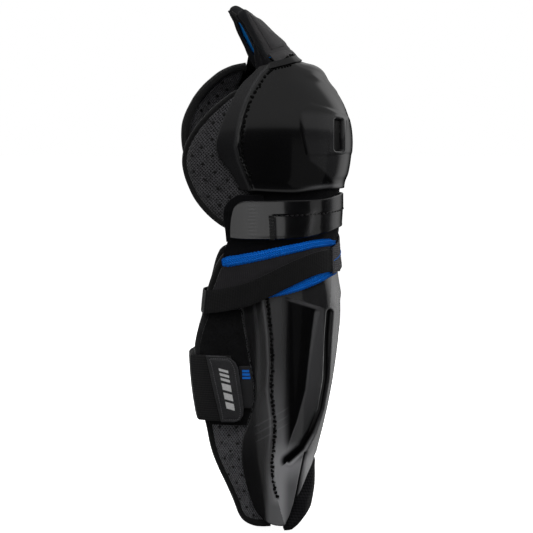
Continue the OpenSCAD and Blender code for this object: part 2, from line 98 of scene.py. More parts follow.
SEAM = A_([[30, 88], [60, 93], [90, 92], [130, 88], [170, 90], [222, 93]])


def tab(T, x, k=1):
    x = np.asarray(x, float); X = T[:, 0]; Y = T[:, k]; n = len(X)
    i = np.clip(np.searchsorted(X, x, side="right") - 1, 0, n - 2)
    d = np.empty(n)
    d[0] = (Y[1] - Y[0]) / (X[1] - X[0]); d[-1] = (Y[-1] - Y[-2]) / (X[-1] - X[-2])
    d[1:-1] = (Y[2:] - Y[:-2]) / (X[2:] - X[:-2])
    h = X[i + 1] - X[i]; t = (x - X[i]) / h; a = Y[i]; b = Y[i + 1]; m = d[i] * h; q = d[i + 1] * h
    r = (2*t**3 - 3*t*t + 1)*a + (t**3 - 2*t*t + t)*m + (3*t*t - 2*t**3)*b + (t**3 - t*t)*q
    return np.where(t < 0, a + m*t, np.where(t > 1, b + q*(t - 1), r))


def mix(a, b, t):
    return a + (b - a) * t


def ss(x, a, b):
    t = np.clip((np.asarray(x, float) - a) / (b - a), 0, 1)
    return t * t * (3 - 2 * t)


def lin(x, a, b):
    return np.clip((np.asarray(x, float) - a) / (b - a), 0, 1)


def oval(T, p, z):
    p = np.asarray(p, float); z = np.asarray(z, float)
    c = np.cos(np.radians(p)); s = np.sin(np.radians(p)); xc = tab(T, z, 5); w = tab(T, z, 4)
    back = np.where(p < 0, tab(T, z, 2), tab(T, z, 3))
    a = np.where(c > 0, tab(T, z, 1) - xc, xc - back); n = np.where(c > 0, 2.1, 2.5)
    r = ((np.abs(c) / a) ** n + (np.abs(s) / w) ** n) ** (-1 / n)
    return np.stack([xc + r * c, r * s, z + 0 * p], -1)


def unit(v):
    return v / np.linalg.norm(v, axis=-1, keepdims=True)


def normal(T, p, z):
    return unit(np.cross(oval(T, p + 1, z) - oval(T, p - 1, z), oval(T, p, z + 1) - oval(T, p, z - 1)))


def skin(T, p, z, o=0.0):
    p = np.asarray(p, float); z = np.asarray(z, float)
    p, z = np.broadcast_arrays(p, z)
    return oval(T, p, z) + np.asarray(o, float)[..., None] * normal(T, p, z)


def flap0(u, v):
    xc = mix(24.5, -14, v); zc = 457 + 35*v; xe = mix(-3.5, -26, v); ze = mix(449, 500, v); w = mix(45, 33, v)
    k = u*v*v
    return np.stack([mix(xc, xe, u*u) - 1.6*np.maximum(k, 0), w*u, mix(zc, ze, u*u) + np.where(k > 0, 4.4, 2.0)*k], -1)


def flap(u, v, o):
    u, v = np.broadcast_arrays(np.asarray(u, float), np.asarray(v, float))
    n = unit(np.cross(flap0(u + 0.02, v) - flap0(u - 0.02, v), flap0(u, v + 0.02) - flap0(u, v - 0.02)))
    return flap0(u, v) + np.asarray(o, float)[..., None] * n


CA, SA = math.cos(math.radians(-7)), math.sin(math.radians(-7))


def side(q):
    """Where a point of the skin lies in the guard's side view, in mm; the far side is mirrored."""
    y = np.abs(q[..., 1])
    return CA * q[..., 0] - SA * y, 0.0085 * q[..., 0] - 0.069 * y + 0.9976 * q[..., 2]


def polydist(U, V, pts):
    """Distance to a polyline and the signed side of it (positive to the right of its direction)."""
    best = np.full(U.shape, 1e9); sg = np.ones(U.shape); run = np.zeros(U.shape); L = 0.0
    for (x0, y0), (x1, y1) in zip(pts[:-1], pts[1:]):
        dx, dy = x1 - x0, y1 - y0; l2 = dx*dx + dy*dy
        t = np.clip(((U - x0)*dx + (V - y0)*dy) / l2, 0, 1)
        d = np.hypot(U - x0 - t*dx, V - y0 - t*dy)
        s = (U - x0)*dy - (V - y0)*dx
        m = d < best
        best = np.where(m, d, best); sg = np.where(m, np.sign(s), sg); run = np.where(m, L + t*math.sqrt(l2), run)
        L += math.sqrt(l2)
    return best, sg * best, run


# ------------------------------------------------------------------ meshes
def ticks(n, f=0.0, k=4):
    """0..1 in n steps with k extra close steps in the first and last share f."""
    if f <= 0:
        return np.linspace(0, 1, n + 1)
    e = f * (np.arange(k) / k) ** 1.6
    return np.concatenate([e, np.linspace(f, 1 - f, n + 1), 1 - e[::-1]])


def make(name, verts, faces, mat, uv=None, smooth=40):
    me = bpy.data.meshes.new(name)
    me.from_pydata((np.asarray(verts) * MM).tolist(), [], faces if isinstance(faces, list) else faces.tolist())
    if uv is not None:
        lay = me.uv_layers.new(name="UVMap")
        idx = np.empty(len(me.loops), np.int32); me.loops.foreach_get("vertex_index", idx)
        lay.data.foreach_set("uv", (np.asarray(uv)[idx] * MM).astype(np.float32).ravel())
    me.validate()
    me.polygons.foreach_set("use_smooth", np.ones(len(me.polygons), bool))
    if smooth:
        me.set_sharp_from_angle(angle=math.radians(smooth))
    ob = bpy.data.objects.new(name, me)
    bpy.context.scene.collection.objects.link(ob)
    if mat is not None:
        me.materials.append(mat)
    return ob


def slab(name, A, B, mat, uv=None, smooth=40):
    """Closed solid between two grids of points, A inside and B outside, in mm."""
    m, n = A.shape[:2]; k = m * n
    i, j = np.meshgrid(np.arange(m - 1), np.arange(n - 1), indexing="ij")
    a = (i*n + j).ravel(); b = a + n; c = b + 1; d = a + 1
    F = [np.stack([a, b, c, d], 1), np.stack([k + a, k + d, k + c, k + b], 1)]
    i = np.arange(m - 1); a = i*n; b = a + n; e = a + n - 1; g = e + n
    F += [np.stack([a, k + a, k + b, b], 1), np.stack([e, g, k + g, k + e], 1)]
    j = np.arange(n - 1); a = j; b = j + 1; e = (m - 1)*n + j; g = e + 1
    F += [np.stack([a, b, k + b, k + a], 1), np.stack([e, k + e, k + g, g], 1)]
    F = np.concatenate(F)
    mi, mj = (m - 1)//2, (n - 1)//2
    if np.dot(np.cross(A[mi + 1, mj] - A[mi, mj], A[mi, mj + 1] - A[mi, mj]), B[mi, mj] - A[mi, mj]) > 0:
        F = F[:, ::-1]
    V = np.concatenate([A.reshape(-1, 3), B.reshape(-1, 3)])
    W = None
    if uv is not None:
        W = np.concatenate([uv.reshape(-1, 2)] * 2)
    return make(name, V, F, mat, W, smooth)


def unroll(P, Z, r=60.0):
    return np.stack([np.radians(P) * r, Z], -1)


def edge_round(us, vs, lu, lv, r, depth):
    """How far the face drops near the patch's edges: a quarter round of radius r, at most depth."""
    u, v = np.meshgrid(us, vs, indexing="ij")
    d = np.minimum(np.minimum(u, 1 - u) * lu, np.minimum(v, 1 - v) * lv)
    t = np.clip(d / r, 0, 1)
    return depth * (1 - np.sqrt(np.clip(1 - (1 - t)**2, 0, 1)))


def patch(name, T, f, nu, nv, o1, o2, mat, size=(100, 100), r=0.8, fe=0.02, k=3, detail=None, smooth=40):
    """Patch of a skin with rounded edges. f(u, v) gives angle and height; o1 inner and o2 outer offset."""
    us, vs = ticks(nu, fe, k), ticks(nv, fe * size[0] / size[1], k)
    u, v = np.meshgrid(us, vs, indexing="ij")
    P, Z = f(u, v); P = P + 0*u; Z = Z + 0*u
    drop = edge_round(us, vs, size[0], size[1], r, (o2 - o1) * 0.45 if np.isscalar(o1) and np.isscalar(o2) else 1.0)
    o = o2 - drop
    i = o1 + drop
    if detail is not None:
        D = detail(P, Z, skin(T, P, Z))
        o = o + D; i = i + D
    return slab(name, skin(T, P, Z, i), skin(T, P, Z, o), mat, unroll(P, Z), smooth)


def tube(name, path, ra, rb, up, mat, n=12, closed=False, caps=True):
    """Tube of an oval section along points in mm; up is the direction of rb at each point."""
    path = np.asarray(path, float); m = len(path)
    t = np.gradient(path, axis=0); t = unit(t)
    up = unit(np.broadcast_to(np.asarray(up, float), path.shape) - 0)
    up = unit(up - (up * t).sum(-1, keepdims=True) * t); sd = np.cross(t, up)
    ra = np.broadcast_to(np.asarray(ra, float), (m,))[:, None, None]; rb = np.broadcast_to(np.asarray(rb, float), (m,))[:, None, None]
    a = np.linspace(0, 2*np.pi, n, endpoint=False)
    ring = path[:, None] + ra*np.cos(a)[None, :, None]*sd[:, None] + rb*np.sin(a)[None, :, None]*up[:, None]
    V = ring.reshape(-1, 3)
    i, j = np.meshgrid(np.arange(m - 1), np.arange(n), indexing="ij"); j2 = (j + 1) % n
    F = np.stack([i*n + j, i*n + j2, (i + 1)*n + j2, (i + 1)*n + j], -1).reshape(-1, 4).tolist()
    if caps:
        F += [list(range(n))[::-1], list(range((m - 1)*n, m*n))]
    L = np.concatenate([[0], np.cumsum(np.linalg.norm(np.diff(path, axis=0), axis=1))])
    uv = np.stack(np.broadcast_arrays(L[:, None], (a * 3.0)[None, :]), -1).reshape(-1, 2)
    return make(name, V, F, mat, uv, 60)


def capsules(name, segs, r, mat, n=6, wob=0.0):
    """Many short rounded threads in one mesh; segs is a list of (p, q, outward)."""
    Vs, Fs, base = [], [], 0
    r0 = r
    for i_, (p, q, out) in enumerate(segs):
        r = r0*(1 + wob*math.sin(i_*7.13) + wob*math.sin(i_*2.71 + 1))
        p = np.asarray(p); q = np.asarray(q); t = unit(q - p); up = unit(out - np.dot(out, t)*t); sd = np.cross(t, up)
        L = np.linalg.norm(q - p)
        prof = [(-0.0, 0.25), (0.12, 0.8), (0.35, 1.0), (0.65, 1.0), (0.88, 0.8), (1.0, 0.25)]
        for s, k in prof:
            c = p + t*L*s + up*(r*0.5*math.sin(math.pi*s) - r*0.25)
            for a in range(n):
                an = 2*math.pi*a/n
                Vs.append(c + r*k*(math.cos(an)*sd + 0.8*math.sin(an)*up))
        m = len(prof)
        for i in range(m - 1):
            for j in range(n):
                j2 = (j + 1) % n
                Fs.append([base + i*n + j, base + i*n + j2, base + (i + 1)*n + j2, base + (i + 1)*n + j])
        Fs.append([base + j for j in range(n)][::-1]); Fs.append([base + (m - 1)*n + j for j in range(n)])
        base += m*n
    return make(name, np.array(Vs), Fs, mat, None, 0)


def along(T, f, n, o, share=0.6, twist=0.0):
    """Stitch segments along f(t) = (angle, height) arrays on skin T."""
    out = []
    t = np.linspace(0, 1, 400); P, Z = f(t); pts = skin(T, P, Z, o(P, Z) if callable(o) else o); N = normal(T, P, Z)
    L = np.concatenate([[0], np.cumsum(np.linalg.norm(np.diff(pts, axis=0), axis=1))]); L /= L[-1]
    for i in range(n):
        a, b = i / n, (i + share) / n
        pa = np.array([np.interp(a, L, pts[:, k]) for k in range(3)]); pb = np.array([np.interp(b, L, pts[:, k]) for k in range(3)])
        nn = np.array([np.interp((a + b)/2, L, N[:, k]) for k in range(3)])
        out.append((pa, pb, unit(nn)))
    return out


def hook(ob, body=None, rep=(), blend=None):
    if rep:
        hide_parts(*rep)
    if blend:
        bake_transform(ob)
    elif body:
        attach(ob, body)
    return ob


def puff(ob, weight, pressure=3.0, cap=2.2, frames=16):
    """Cloth under pressure swells the pad; weight(points in mm) is 0 where it is sewn down, cap in mm."""
    me = ob.data; n = len(me.vertices); old = np.empty(n*3); me.vertices.foreach_get("co", old); old = old.reshape(-1, 3)
    md = ob.modifiers.new("cloth", "CLOTH"); st = md.settings
    st.quality = 4; st.mass = 0.2; st.use_pressure = True; st.uniform_pressure_force = pressure
    st.tension_stiffness = 20; st.compression_stiffness = 8; st.shear_stiffness = 6; st.bending_stiffness = 0.6
    st.effector_weights.gravity = 0
    md.collision_settings.use_collision = False
    md.point_cache.frame_start = 1; md.point_cache.frame_end = frames
    sc = bpy.context.scene
    for fr in range(1, frames + 1):
        sc.frame_set(fr)
    ev = ob.evaluated_get(bpy.context.evaluated_depsgraph_get()); new = np.empty(n*3); ev.data.vertices.foreach_get("co", new); new = new.reshape(-1, 3)
    ob.modifiers.remove(md); sc.frame_set(1)
    d = new - old; l = np.linalg.norm(d, axis=1, keepdims=True); d = d * np.minimum(1, cap*MM / np.maximum(l, 1e-9))
    d = np.nan_to_num(d) * np.asarray(weight(old / MM))[:, None]
    me.vertices.foreach_set("co", (old + d).ravel()); me.update()
    sub = ob.modifiers.new("sub", "SUBSURF"); sub.levels = sub.render_levels = 1
    ev = ob.evaluated_get(bpy.context.evaluated_depsgraph_get())
    me2 = bpy.data.meshes.new_from_object(ev); me2.name = ob.name
    ob.modifiers.clear(); ob.data = me2
    me2.polygons.foreach_set("use_smooth", np.ones(len(me2.polygons), bool))
    return ob


def bvh(ob):
    me = ob.data
    co = np.empty(len(me.vertices)*3); me.vertices.foreach_get("co", co)
    return BVHTree.FromPolygons(co.reshape(-1, 3).tolist(), [list(p.vertices) for p in me.polygons])


def discs(name, tree, spots, r, h, mat, n=14):
    """Low raised discs set on a surface: spots are (outside point, direction inwards) in mm."""
    V, F, b = [], [], 0
    for p, d in spots:
        hit = tree.ray_cast(Vector(p)*MM, Vector(d))
        if hit[0] is None:
            continue
        c = np.array(hit[0])/MM; nn = np.array(hit[1])
        if np.dot(nn, d) > 0:
            nn = -nn
        t = unit(np.cross(nn, [0.1, 0.2, 1.0])); s = np.cross(nn, t)
        for rr, hh in ((1.0, -0.3), (1.0, h*0.55), (0.72, h)):
            for a in range(n):
                an = 2*math.pi*a/n
                V.append(c + r*rr*(math.cos(an)*t + math.sin(an)*s) + hh*nn)
        for k in range(2):
            for a in range(n):
                a2 = (a + 1) % n
                F.append([b + k*n + a, b + k*n + a2, b + (k + 1)*n + a2, b + (k + 1)*n + a])
        F.append([b + 2*n + a for a in range(n)]); F.append([b + a for a in range(n)][::-1])
        b += 3*n
    return make(name, np.array(V), F, mat, None, 50)


# ------------------------------------------------------------------ materials
class Net:
    def __init__(self, name):
        self.m = bpy.data.materials.new(name); self.m.use_nodes = True
        self.t = self.m.node_tree; self.n = self.t.nodes; self.n.clear()
        self.out = self.n.new("ShaderNodeOutputMaterial"); self.b = self.n.new("ShaderNodeBsdfPrincipled")
        self.t.links.new(self.b.outputs[0], self.out.inputs[0])

    def put(self, sock, v):
        if hasattr(v, "is_output") or isinstance(v, bpy.types.NodeSocket):
            self.t.links.new(v, sock)
        else:
            sock.default_value = v

    def math(self, op, a, b=0.0, c=None):
        n = self.n.new("ShaderNodeMath"); n.operation = op
        self.put(n.inputs[0], a); self.put(n.inputs[1], b)
        if c is not None:
            self.put(n.inputs[2], c)
        return n.outputs[0]

    def coords(self, kind="UV"):
        tc = self.n.new("ShaderNodeTexCoord"); s = self.n.new("ShaderNodeSeparateXYZ")
        self.t.links.new(tc.outputs[kind], s.inputs[0]); self.vec = tc.outputs[kind]
        return s.outputs[0], s.outputs[1], s.outputs[2]

    def noise(self, scale, detail=4, rough=0.6, vec=None, out=0):
        n = self.n.new("ShaderNodeTexNoise"); n.inputs["Scale"].default_value = scale
        n.inputs["Detail"].default_value = detail; n.inputs["Roughness"].default_value = rough
        self.t.links.new(vec if vec is not None else self.vec, n.inputs["Vector"])
        return n.outputs[out]

    def ramp(self, facet_reflection, stops):
        n = self.n.new("ShaderNodeValToRGB"); self.put(n.inputs[0], facet_reflection); e = n.color_ramp.elements
        while len(e) > 1:
            e.remove(e[-1])
        e[0].position, e[0].color = stops[0][0], (*stops[0][1], 1)
        for p, c in stops[1:]:
            x = e.new(p); x.color = (*c, 1)
        return n.outputs[0]

    def wave(self, x, period_mm, phase=0.0):
        """0..1 cosine of a coordinate in metres."""
        a = self.math("MULTIPLY_ADD", x, 2*math.pi/(period_mm*MM), phase)
        return self.math("MULTIPLY_ADD", self.math("COSINE", a), 0.5, 0.5)

    def bump(self, h, dist_mm, strength=1.0):
        n = self.n.new("ShaderNodeBump"); n.inputs["Distance"].default_value = dist_mm*MM
        n.inputs["Strength"].default_value = strength
        self.put(n.inputs["Height"], h); self.t.links.new(n.outputs[0], self.b.inputs["Normal"])
        return n.outputs[0]

    def set(self, **k):
        for a, v in k.items():
            self.put(self.b.inputs[a.replace("_", " ")], v)
        return self.m


def lerp_col(a, b):
    return [(0.0, a), (1.0, b)]


def gloss(name, col=(0.0016, 0.0016, 0.0018), rough=0.13, peel=0.045, coat=0.6):
    N = Net(name); N.coords("Object")
    n1 = N.noise(38, 3, 0.5); n2 = N.noise(420, 2, 0.5)
    r = N.math("MULTIPLY_ADD", n1, 0.10, rough - 0.05)
    h = N.math("ADD", N.math("MULTIPLY", n1, 1.0), N.math("MULTIPLY", n2, 0.06))
    N.bump(h, peel)
    c = N.ramp(n1, [(0.3, col), (0.75, tuple(x*1.7 for x in col))])
    # painted light: the mouldings' per-point painted reflections, highlights and shade, plus the shell's pale lines,
    # are added to the base colour; the matt attribute takes off coat and specular
    tn = N.n.new("ShaderNodeAttribute"); tn.attribute_name = "painted_light_and_marks"; ad = N.n.new("ShaderNodeVectorMath"); ad.operation = "ADD"
    N.t.links.new(c, ad.inputs[0]); N.t.links.new(tn.outputs["Vector"], ad.inputs[1])
    mt = N.n.new("ShaderNodeAttribute"); mt.attribute_name = "matt"; sh = N.math("SUBTRACT", 1.0, mt.outputs["Fac"])
    return N.set(Base_Color=ad.outputs[0], Roughness=r, Coat_Weight=N.math("MULTIPLY", sh, coat), Coat_Roughness=0.06, Specular_IOR_Level=N.math("MULTIPLY", sh, 0.5))


def mesh_mat(name, lo, hi, per=2.3, bump=0.35):
    """Spacer mesh: slanted lattice of threads round dark cells."""
    N = Net(name); x, y, _ = N.coords()
    a = N.wave(N.math("ADD", x, N.math("MULTIPLY", y, 0.62)), per); b = N.wave(N.math("SUBTRACT", N.math("MULTIPLY", x, 0.9), N.math("MULTIPLY", y, 0.75)), per * 0.82)
    cell = N.math("MULTIPLY", a, b); thr = N.math("SUBTRACT", 1.0, cell)
    f = N.noise(900, 3, 0.6); t = N.math("MULTIPLY", thr, N.math("MULTIPLY_ADD", f, 0.7, 0.62))
    N.coords("Object"); g = N.noise(430, 2, 0.7); g2 = N.noise(60, 3, 0.6)
    t = N.math("MULTIPLY", t, N.math("MULTIPLY_ADD", g, 1.6, 0.1)); t = N.math("MULTIPLY", t, N.math("MULTIPLY_ADD", g2, 0.8, 0.6))
    c = N.ramp(t, [(0.22, lo), (0.50, mixc(lo, hi, 0.25)), (0.85, hi)])
    N.bump(t, bump)
    return N.set(Base_Color=c, Roughness=0.82, Sheen_Weight=0.25, Sheen_Roughness=0.5, Specular_IOR_Level=0.25)


def mixc(a, b, t):
    return tuple(x + (y - x)*t for x, y in zip(a, b))


def rib_mat(name, lo, hi, per_u=2.2, per_v=1.1, amp=0.3, rough=0.78, sheen=0.2, fuzz=0.5):
    """Woven tape: ribs across u with fine rows along v."""
    N = Net(name); x, y, _ = N.coords()
    a = N.wave(x, per_u); b = N.wave(y, per_v)
    t = N.math("ADD", N.math("MULTIPLY", a, 0.35), N.math("MULTIPLY", b, 0.65))
    f = N.noise(1500, 3, 0.6); t = N.math("MULTIPLY", t, N.math("MULTIPLY_ADD", f, fuzz, 1 - fuzz/2))
    g = N.noise(60, 2, 0.5)
    c = N.ramp(N.math("ADD", N.math("MULTIPLY", t, 0.75), N.math("MULTIPLY", g, 0.3)), [(0.15, lo), (0.95, hi)])
    N.bump(t, amp)
    return N.set(Base_Color=c, Roughness=rough, Sheen_Weight=sheen, Sheen_Roughness=0.45, Specular_IOR_Level=0.3)


def knit_mat(name, lo, hi, per=1.5, amp=0.25, rough=0.85, sheen=0.3):
    """Knit: slanted loops in columns."""
    N = Net(name); x, y, _ = N.coords()
    zig = N.math("MULTIPLY", N.math("ABSOLUTE", N.math("SUBTRACT", N.math("FRACT", N.math("MULTIPLY", x, 1/(per*MM))), 0.5)), per*MM*1.1)
    row = N.wave(N.math("ADD", y, zig), per*0.75); colm = N.wave(x, per)
    t = N.math("MULTIPLY", row, N.math("MULTIPLY_ADD", colm, 0.45, 0.55))
    f = N.noise(1300, 3, 0.6); t = N.math("MULTIPLY", t, N.math("MULTIPLY_ADD", f, 0.6, 0.7))
    g = N.noise(45, 3, 0.5)
    c = N.ramp(N.math("ADD", N.math("MULTIPLY", t, 0.7), N.math("MULTIPLY", g, 0.3)), [(0.1, lo), (0.9, hi)])
    N.bump(t, amp)
    return N.set(Base_Color=c, Roughness=rough, Sheen_Weight=sheen, Sheen_Roughness=0.4, Specular_IOR_Level=0.25)


def fuzz_mat(name, lo, hi, amp=0.5):
    """Brushed loop pile."""
    N = Net(name); N.coords("Object")
    a = N.noise(520, 5, 0.75); b = N.noise(90, 3, 0.6)
    t = N.math("ADD", N.math("MULTIPLY", a, 0.65), N.math("MULTIPLY", b, 0.35))
    c = N.ramp(t, [(0.35, lo), (0.72, hi)])
    N.bump(t, amp)
    return N.set(Base_Color=c, Roughness=0.95, Sheen_Weight=0.7, Sheen_Roughness=0.35, Specular_IOR_Level=0.15)


def nylon_mat(name, lo, hi, per=0.9, rough=0.55):
    N = Net(name); x, y, _ = N.coords()
    a = N.wave(x, per); b = N.wave(y, per); t = N.math("ABSOLUTE", N.math("SUBTRACT", a, b))
    g = N.noise(35, 4, 0.55); f = N.noise(300, 3, 0.6)
    h = N.math("ADD", N.math("MULTIPLY", t, 0.18), N.math("MULTIPLY", g, 1.6))
    c = N.ramp(N.math("ADD", N.math("MULTIPLY", t, 0.35), N.math("ADD", N.math("MULTIPLY", g, 0.4), N.math("MULTIPLY", f, 0.25))), [(0.2, lo), (0.85, hi)])
    N.bump(h, 0.5)
    return N.set(Base_Color=c, Roughness=rough, Sheen_Weight=0.1, Specular_IOR_Level=0.45)


def grain_mat(name, lo, hi, rough=0.5):
    N = Net(name); N.coords("Object")
    v = N.n.new("ShaderNodeTexVoronoi"); v.inputs["Scale"].default_value = 900; N.t.links.new(N.vec, v.inputs["Vector"])
    g = N.noise(70, 3, 0.5); c = N.ramp(N.math("ADD", N.math("MULTIPLY", v.outputs[0], 0.6), N.math("MULTIPLY", g, 0.5)), [(0.2, lo), (0.8, hi)])
    N.bump(v.outputs[0], 0.12)
    return N.set(Base_Color=c, Roughness=rough, Specular_IOR_Level=0.45)


M = dict(
    shell=gloss("shell_gloss"), band=gloss("band_gloss", (0.0025, 0.0025, 0.0028), 0.17, 0.04, 0.5),
    flange=gloss("flange_gloss", (0.005, 0.005, 0.0055), 0.25, 0.06, 0.3),
    mesh=mesh_mat("spacer_mesh", (0.0030, 0.0030, 0.0035), (0.15, 0.15, 0.162), 2.7, 0.5),
    # painted shade: the knee wings get a darker copy of the spacer mesh
    mesh_knee_shaded=mesh_mat("knee_mesh_shaded", (0.0020, 0.0020, 0.0025), (0.066, 0.065, 0.07), 2.5, 0.5),
    dot=grain_mat("mesh_dot", (0.003, 0.003, 0.003), (0.008, 0.008, 0.008), 0.6),
    bind=rib_mat("binding_twill", (0.003, 0.003, 0.003), (0.014, 0.014, 0.0145), 1.4, 0.9, 0.25),
    loop=fuzz_mat("loop_pile", (0.0025, 0.0025, 0.0027), (0.012, 0.012, 0.013)),
    roll=fuzz_mat("brushed_edge", (0.008, 0.008, 0.009), (0.035, 0.035, 0.036), 0.35),
    hook=grain_mat("hook_tape", (0.004, 0.004, 0.004), (0.016, 0.016, 0.016), 0.55),
    knit=knit_mat("stretch_knit", (0.010, 0.0098, 0.011), (0.042, 0.040, 0.044), 1.5, 0.3),
    dark=knit_mat("dark_knit", (0.0015, 0.0015, 0.002), (0.0070, 0.0068, 0.0085), 1.3, 0.2, 0.85, 0.1),
    instep=rib_mat("instep_twill", (0.0015, 0.0015, 0.002), (0.011, 0.011, 0.013), 3.2, 2.6, 0.4, 0.8, 0.1),
    blue=knit_mat("blue_knit", (0.0002, 0.080, 0.52), (0.0010, 0.26, 1.0), 2.3, 0.8, 0.85, 0.0),
    lining=knit_mat("blue_lining", (0.0005, 0.21, 0.85), (0.002, 0.40, 1.0), 1.2, 0.2, 0.8, 0.03),
    web=rib_mat("ribbed_webbing", (0.0028, 0.0028, 0.003), (0.0165, 0.0165, 0.0172), 2.4, 1.3, 0.35, 0.78, 0.12),
    elastic=rib_mat("knitted_elastic", (0.0045, 0.0045, 0.005), (0.023, 0.023, 0.024), 1.6, 2.2, 0.25),
    anchor=rib_mat("anchor_weave", (0.016, 0.016, 0.018), (0.12, 0.115, 0.125), 1.9, 1.9, 0.4),
    nylon=nylon_mat("coated_nylon", (0.014, 0.0135, 0.0145), (0.050, 0.047, 0.050)),
    gusset=nylon_mat("black_nylon", (0.0025, 0.0027, 0.0034), (0.0095, 0.010, 0.013), 0.9, 0.65),
    tab=grain_mat("moulded_tab", (0.022, 0.022, 0.024), (0.048, 0.048, 0.051), 0.48),
    label=rib_mat("label_weave", (0.012, 0.012, 0.013), (0.040, 0.040, 0.043), 0.9, 0.7, 0.12),
    foam=knit_mat("brushed_liner", (0.012, 0.012, 0.013), (0.045, 0.045, 0.048), 1.8, 0.3),
    stitch=rib_mat("seam_thread", (0.0003, 0.0003, 0.0003), (0.003, 0.003, 0.003), 0.6, 0.6, 0.05, 0.9, 0.0),
    thread=rib_mat("black_thread", (0.002, 0.002, 0.002), (0.010, 0.010, 0.010), 0.6, 0.6, 0.05, 0.6),
    grey_thread=rib_mat("grey_thread", (0.05, 0.05, 0.055), (0.14, 0.14, 0.15), 0.6, 0.6, 0.05, 0.6),
    pale=grain_mat("pale_mark", (0.62, 0.62, 0.62), (0.80, 0.80, 0.80), 0.55),
    blue_thread=rib_mat("blue_thread", (0.002, 0.12, 0.60), (0.01, 0.26, 1.0), 0.6, 0.6, 0.05, 0.6),
)

# ------------------------------------------------------------------ feature lines in the side view, mm
CAP_RIM = [(36, 463), (29.6, 454.6), (17.2, 446.5), (6.7, 437.4), (-2.3, 428.1), (-9.5, 416.4), (-15.7, 404), (-21, 388.7),
           (-24.1, 373.8), (-25.8, 360.4), (-23.2, 348.7), (-17.4, 333.7), (-13.2, 324.4), (-10.5, 314)]
CAP_SEAM = [(29.4, 451.5), (12.7, 439), (1, 427.3), (-9.8, 410.6), (-16.5, 393.8), (-19.9, 377.2), (-22.0, 362), (-19.1, 347), (-12.4, 330.4)]
CAP_CREASE = [(36, 428.5), (43, 427.3), (54.4, 424), (61.1, 420.6), (67, 416)]
SHELL_SEAM = [(0.5, 232), (1.4, 219.6), (3.4, 203.4), (5.4, 183.4), (6.5, 159), (5.4, 134.7), (6.5, 122.6), (8.5, 106.4),
              (8.9, 92.3), (7.4, 78.3), (6.1, 64), (6.5, 51.6), (8.5, 41.5), (11.5, 30.6)]
FACET_L = [(50, 222), (49, 212.7), (47, 203.6), (43, 171.2), (38.9, 132.7), (30.8, 102.4), (22.6, 82.1), (19, 74)]
FACET_R = [(55.2, 224), (55.1, 213.9), (54.4, 183.4), (53.5, 143.2), (49, 116.5), (38.9, 96.5), (28.6, 80.2), (20, 70)]
GROOVE = [(60.2, 206.5), (58.5, 183.4), (57.3, 143.2), (52.6, 113.7), (44.9, 92.6), (35.8, 77.2), (22.5, 66.5)]
FOLD = [(38.0, 73), (37.2, 68.8), (35.5, 60.5), (32.7, 46.8), (30.4, 34.2), (28.1, 23.9), (24.6, 13.6), (20.6, 5.5)]


def front_of(U, V, pts):
    d, s, run = polydist(U, V, pts)
    return d, -s, run


def top_dip(P, Z):
    k = 1 - ss(np.abs(P), 38, 66)
    return k*(2.4*np.exp(-((Z - 436)/6.5)**2) - 4.6*ss(Z, 440, 451))


def cap_detail(P, Z, Q):
    U, V = side(Q)
    d, s, _ = front_of(U, V, CAP_RIM)
    main = ss(s, -0.9, 1.3)
    D = mix(-1.3, 0.0, main) + 0.75 * np.exp(-((s - 0.4) / 1.3) ** 2)
    dg, _, _ = front_of(U, V, CAP_SEAM)
    D = D - 0.35 * np.exp(-(dg / 1.1) ** 2)
    # raised panel round the vent
    top = np.interp(U, [26, 30.6, 42, 57.3, 73.5, 82], [386, 395.4, 401.4, 398.2, 393, 390]) - V
    bot = V - np.interp(U, [36, 38.7, 57.3, 74.5, 82], [352, 352.9, 353.3, 356.2, 357])
    left = (U - np.interp(V, [350, 353, 395, 402], [39.4, 38.7, 30.6, 32]))
    right = np.abs(Q[..., 1]) - 13
    ins = np.minimum(np.minimum(top, bot), np.minimum(left, right * 0.6))
    D = D + 0.75 * ss(ins, -1.4, 1.8) * main
    # upright vent slot with a rounded lip
    qx = np.abs(U - 68.6) - 2.2; qy = np.abs(V - 373.0) - 13.2
    sd = np.hypot(np.maximum(qx, 0), np.maximum(qy, 0)) + np.minimum(np.maximum(qx, qy), 0) - 2.3
    D = D + 0.55 * np.exp(-((sd - 1.5) / 1.3) ** 2) - 2.9 * (1 - ss(sd, -1.5, 0.1))
    # crease over the dome and the rolled lower lip
    dc, sc, _ = front_of(U, V, CAP_CREASE)
    D = D + 0.55 * np.exp(-(dc / 2.2) ** 2) * ss(U, 34, 46)
    low = Z - tab(CAP_LOW, np.abs(P))
    D = D + top_dip(P, Z)
    D = D + 0.55 * np.exp(-(low / 2.6) ** 2) * main - 0.35 * np.exp(-((low - 8) / 3.0) ** 2) * main
    return D


def cap_flange_mask(P, Z, Q):
    U, V = side(Q); return front_of(U, V, CAP_RIM)[1] < -0.4


def vent_mask(P, Z, Q):
    U, V = side(Q)
    return (np.abs(U - 68.6) < 3.4) & (np.abs(V - 373.0) < 14.6)


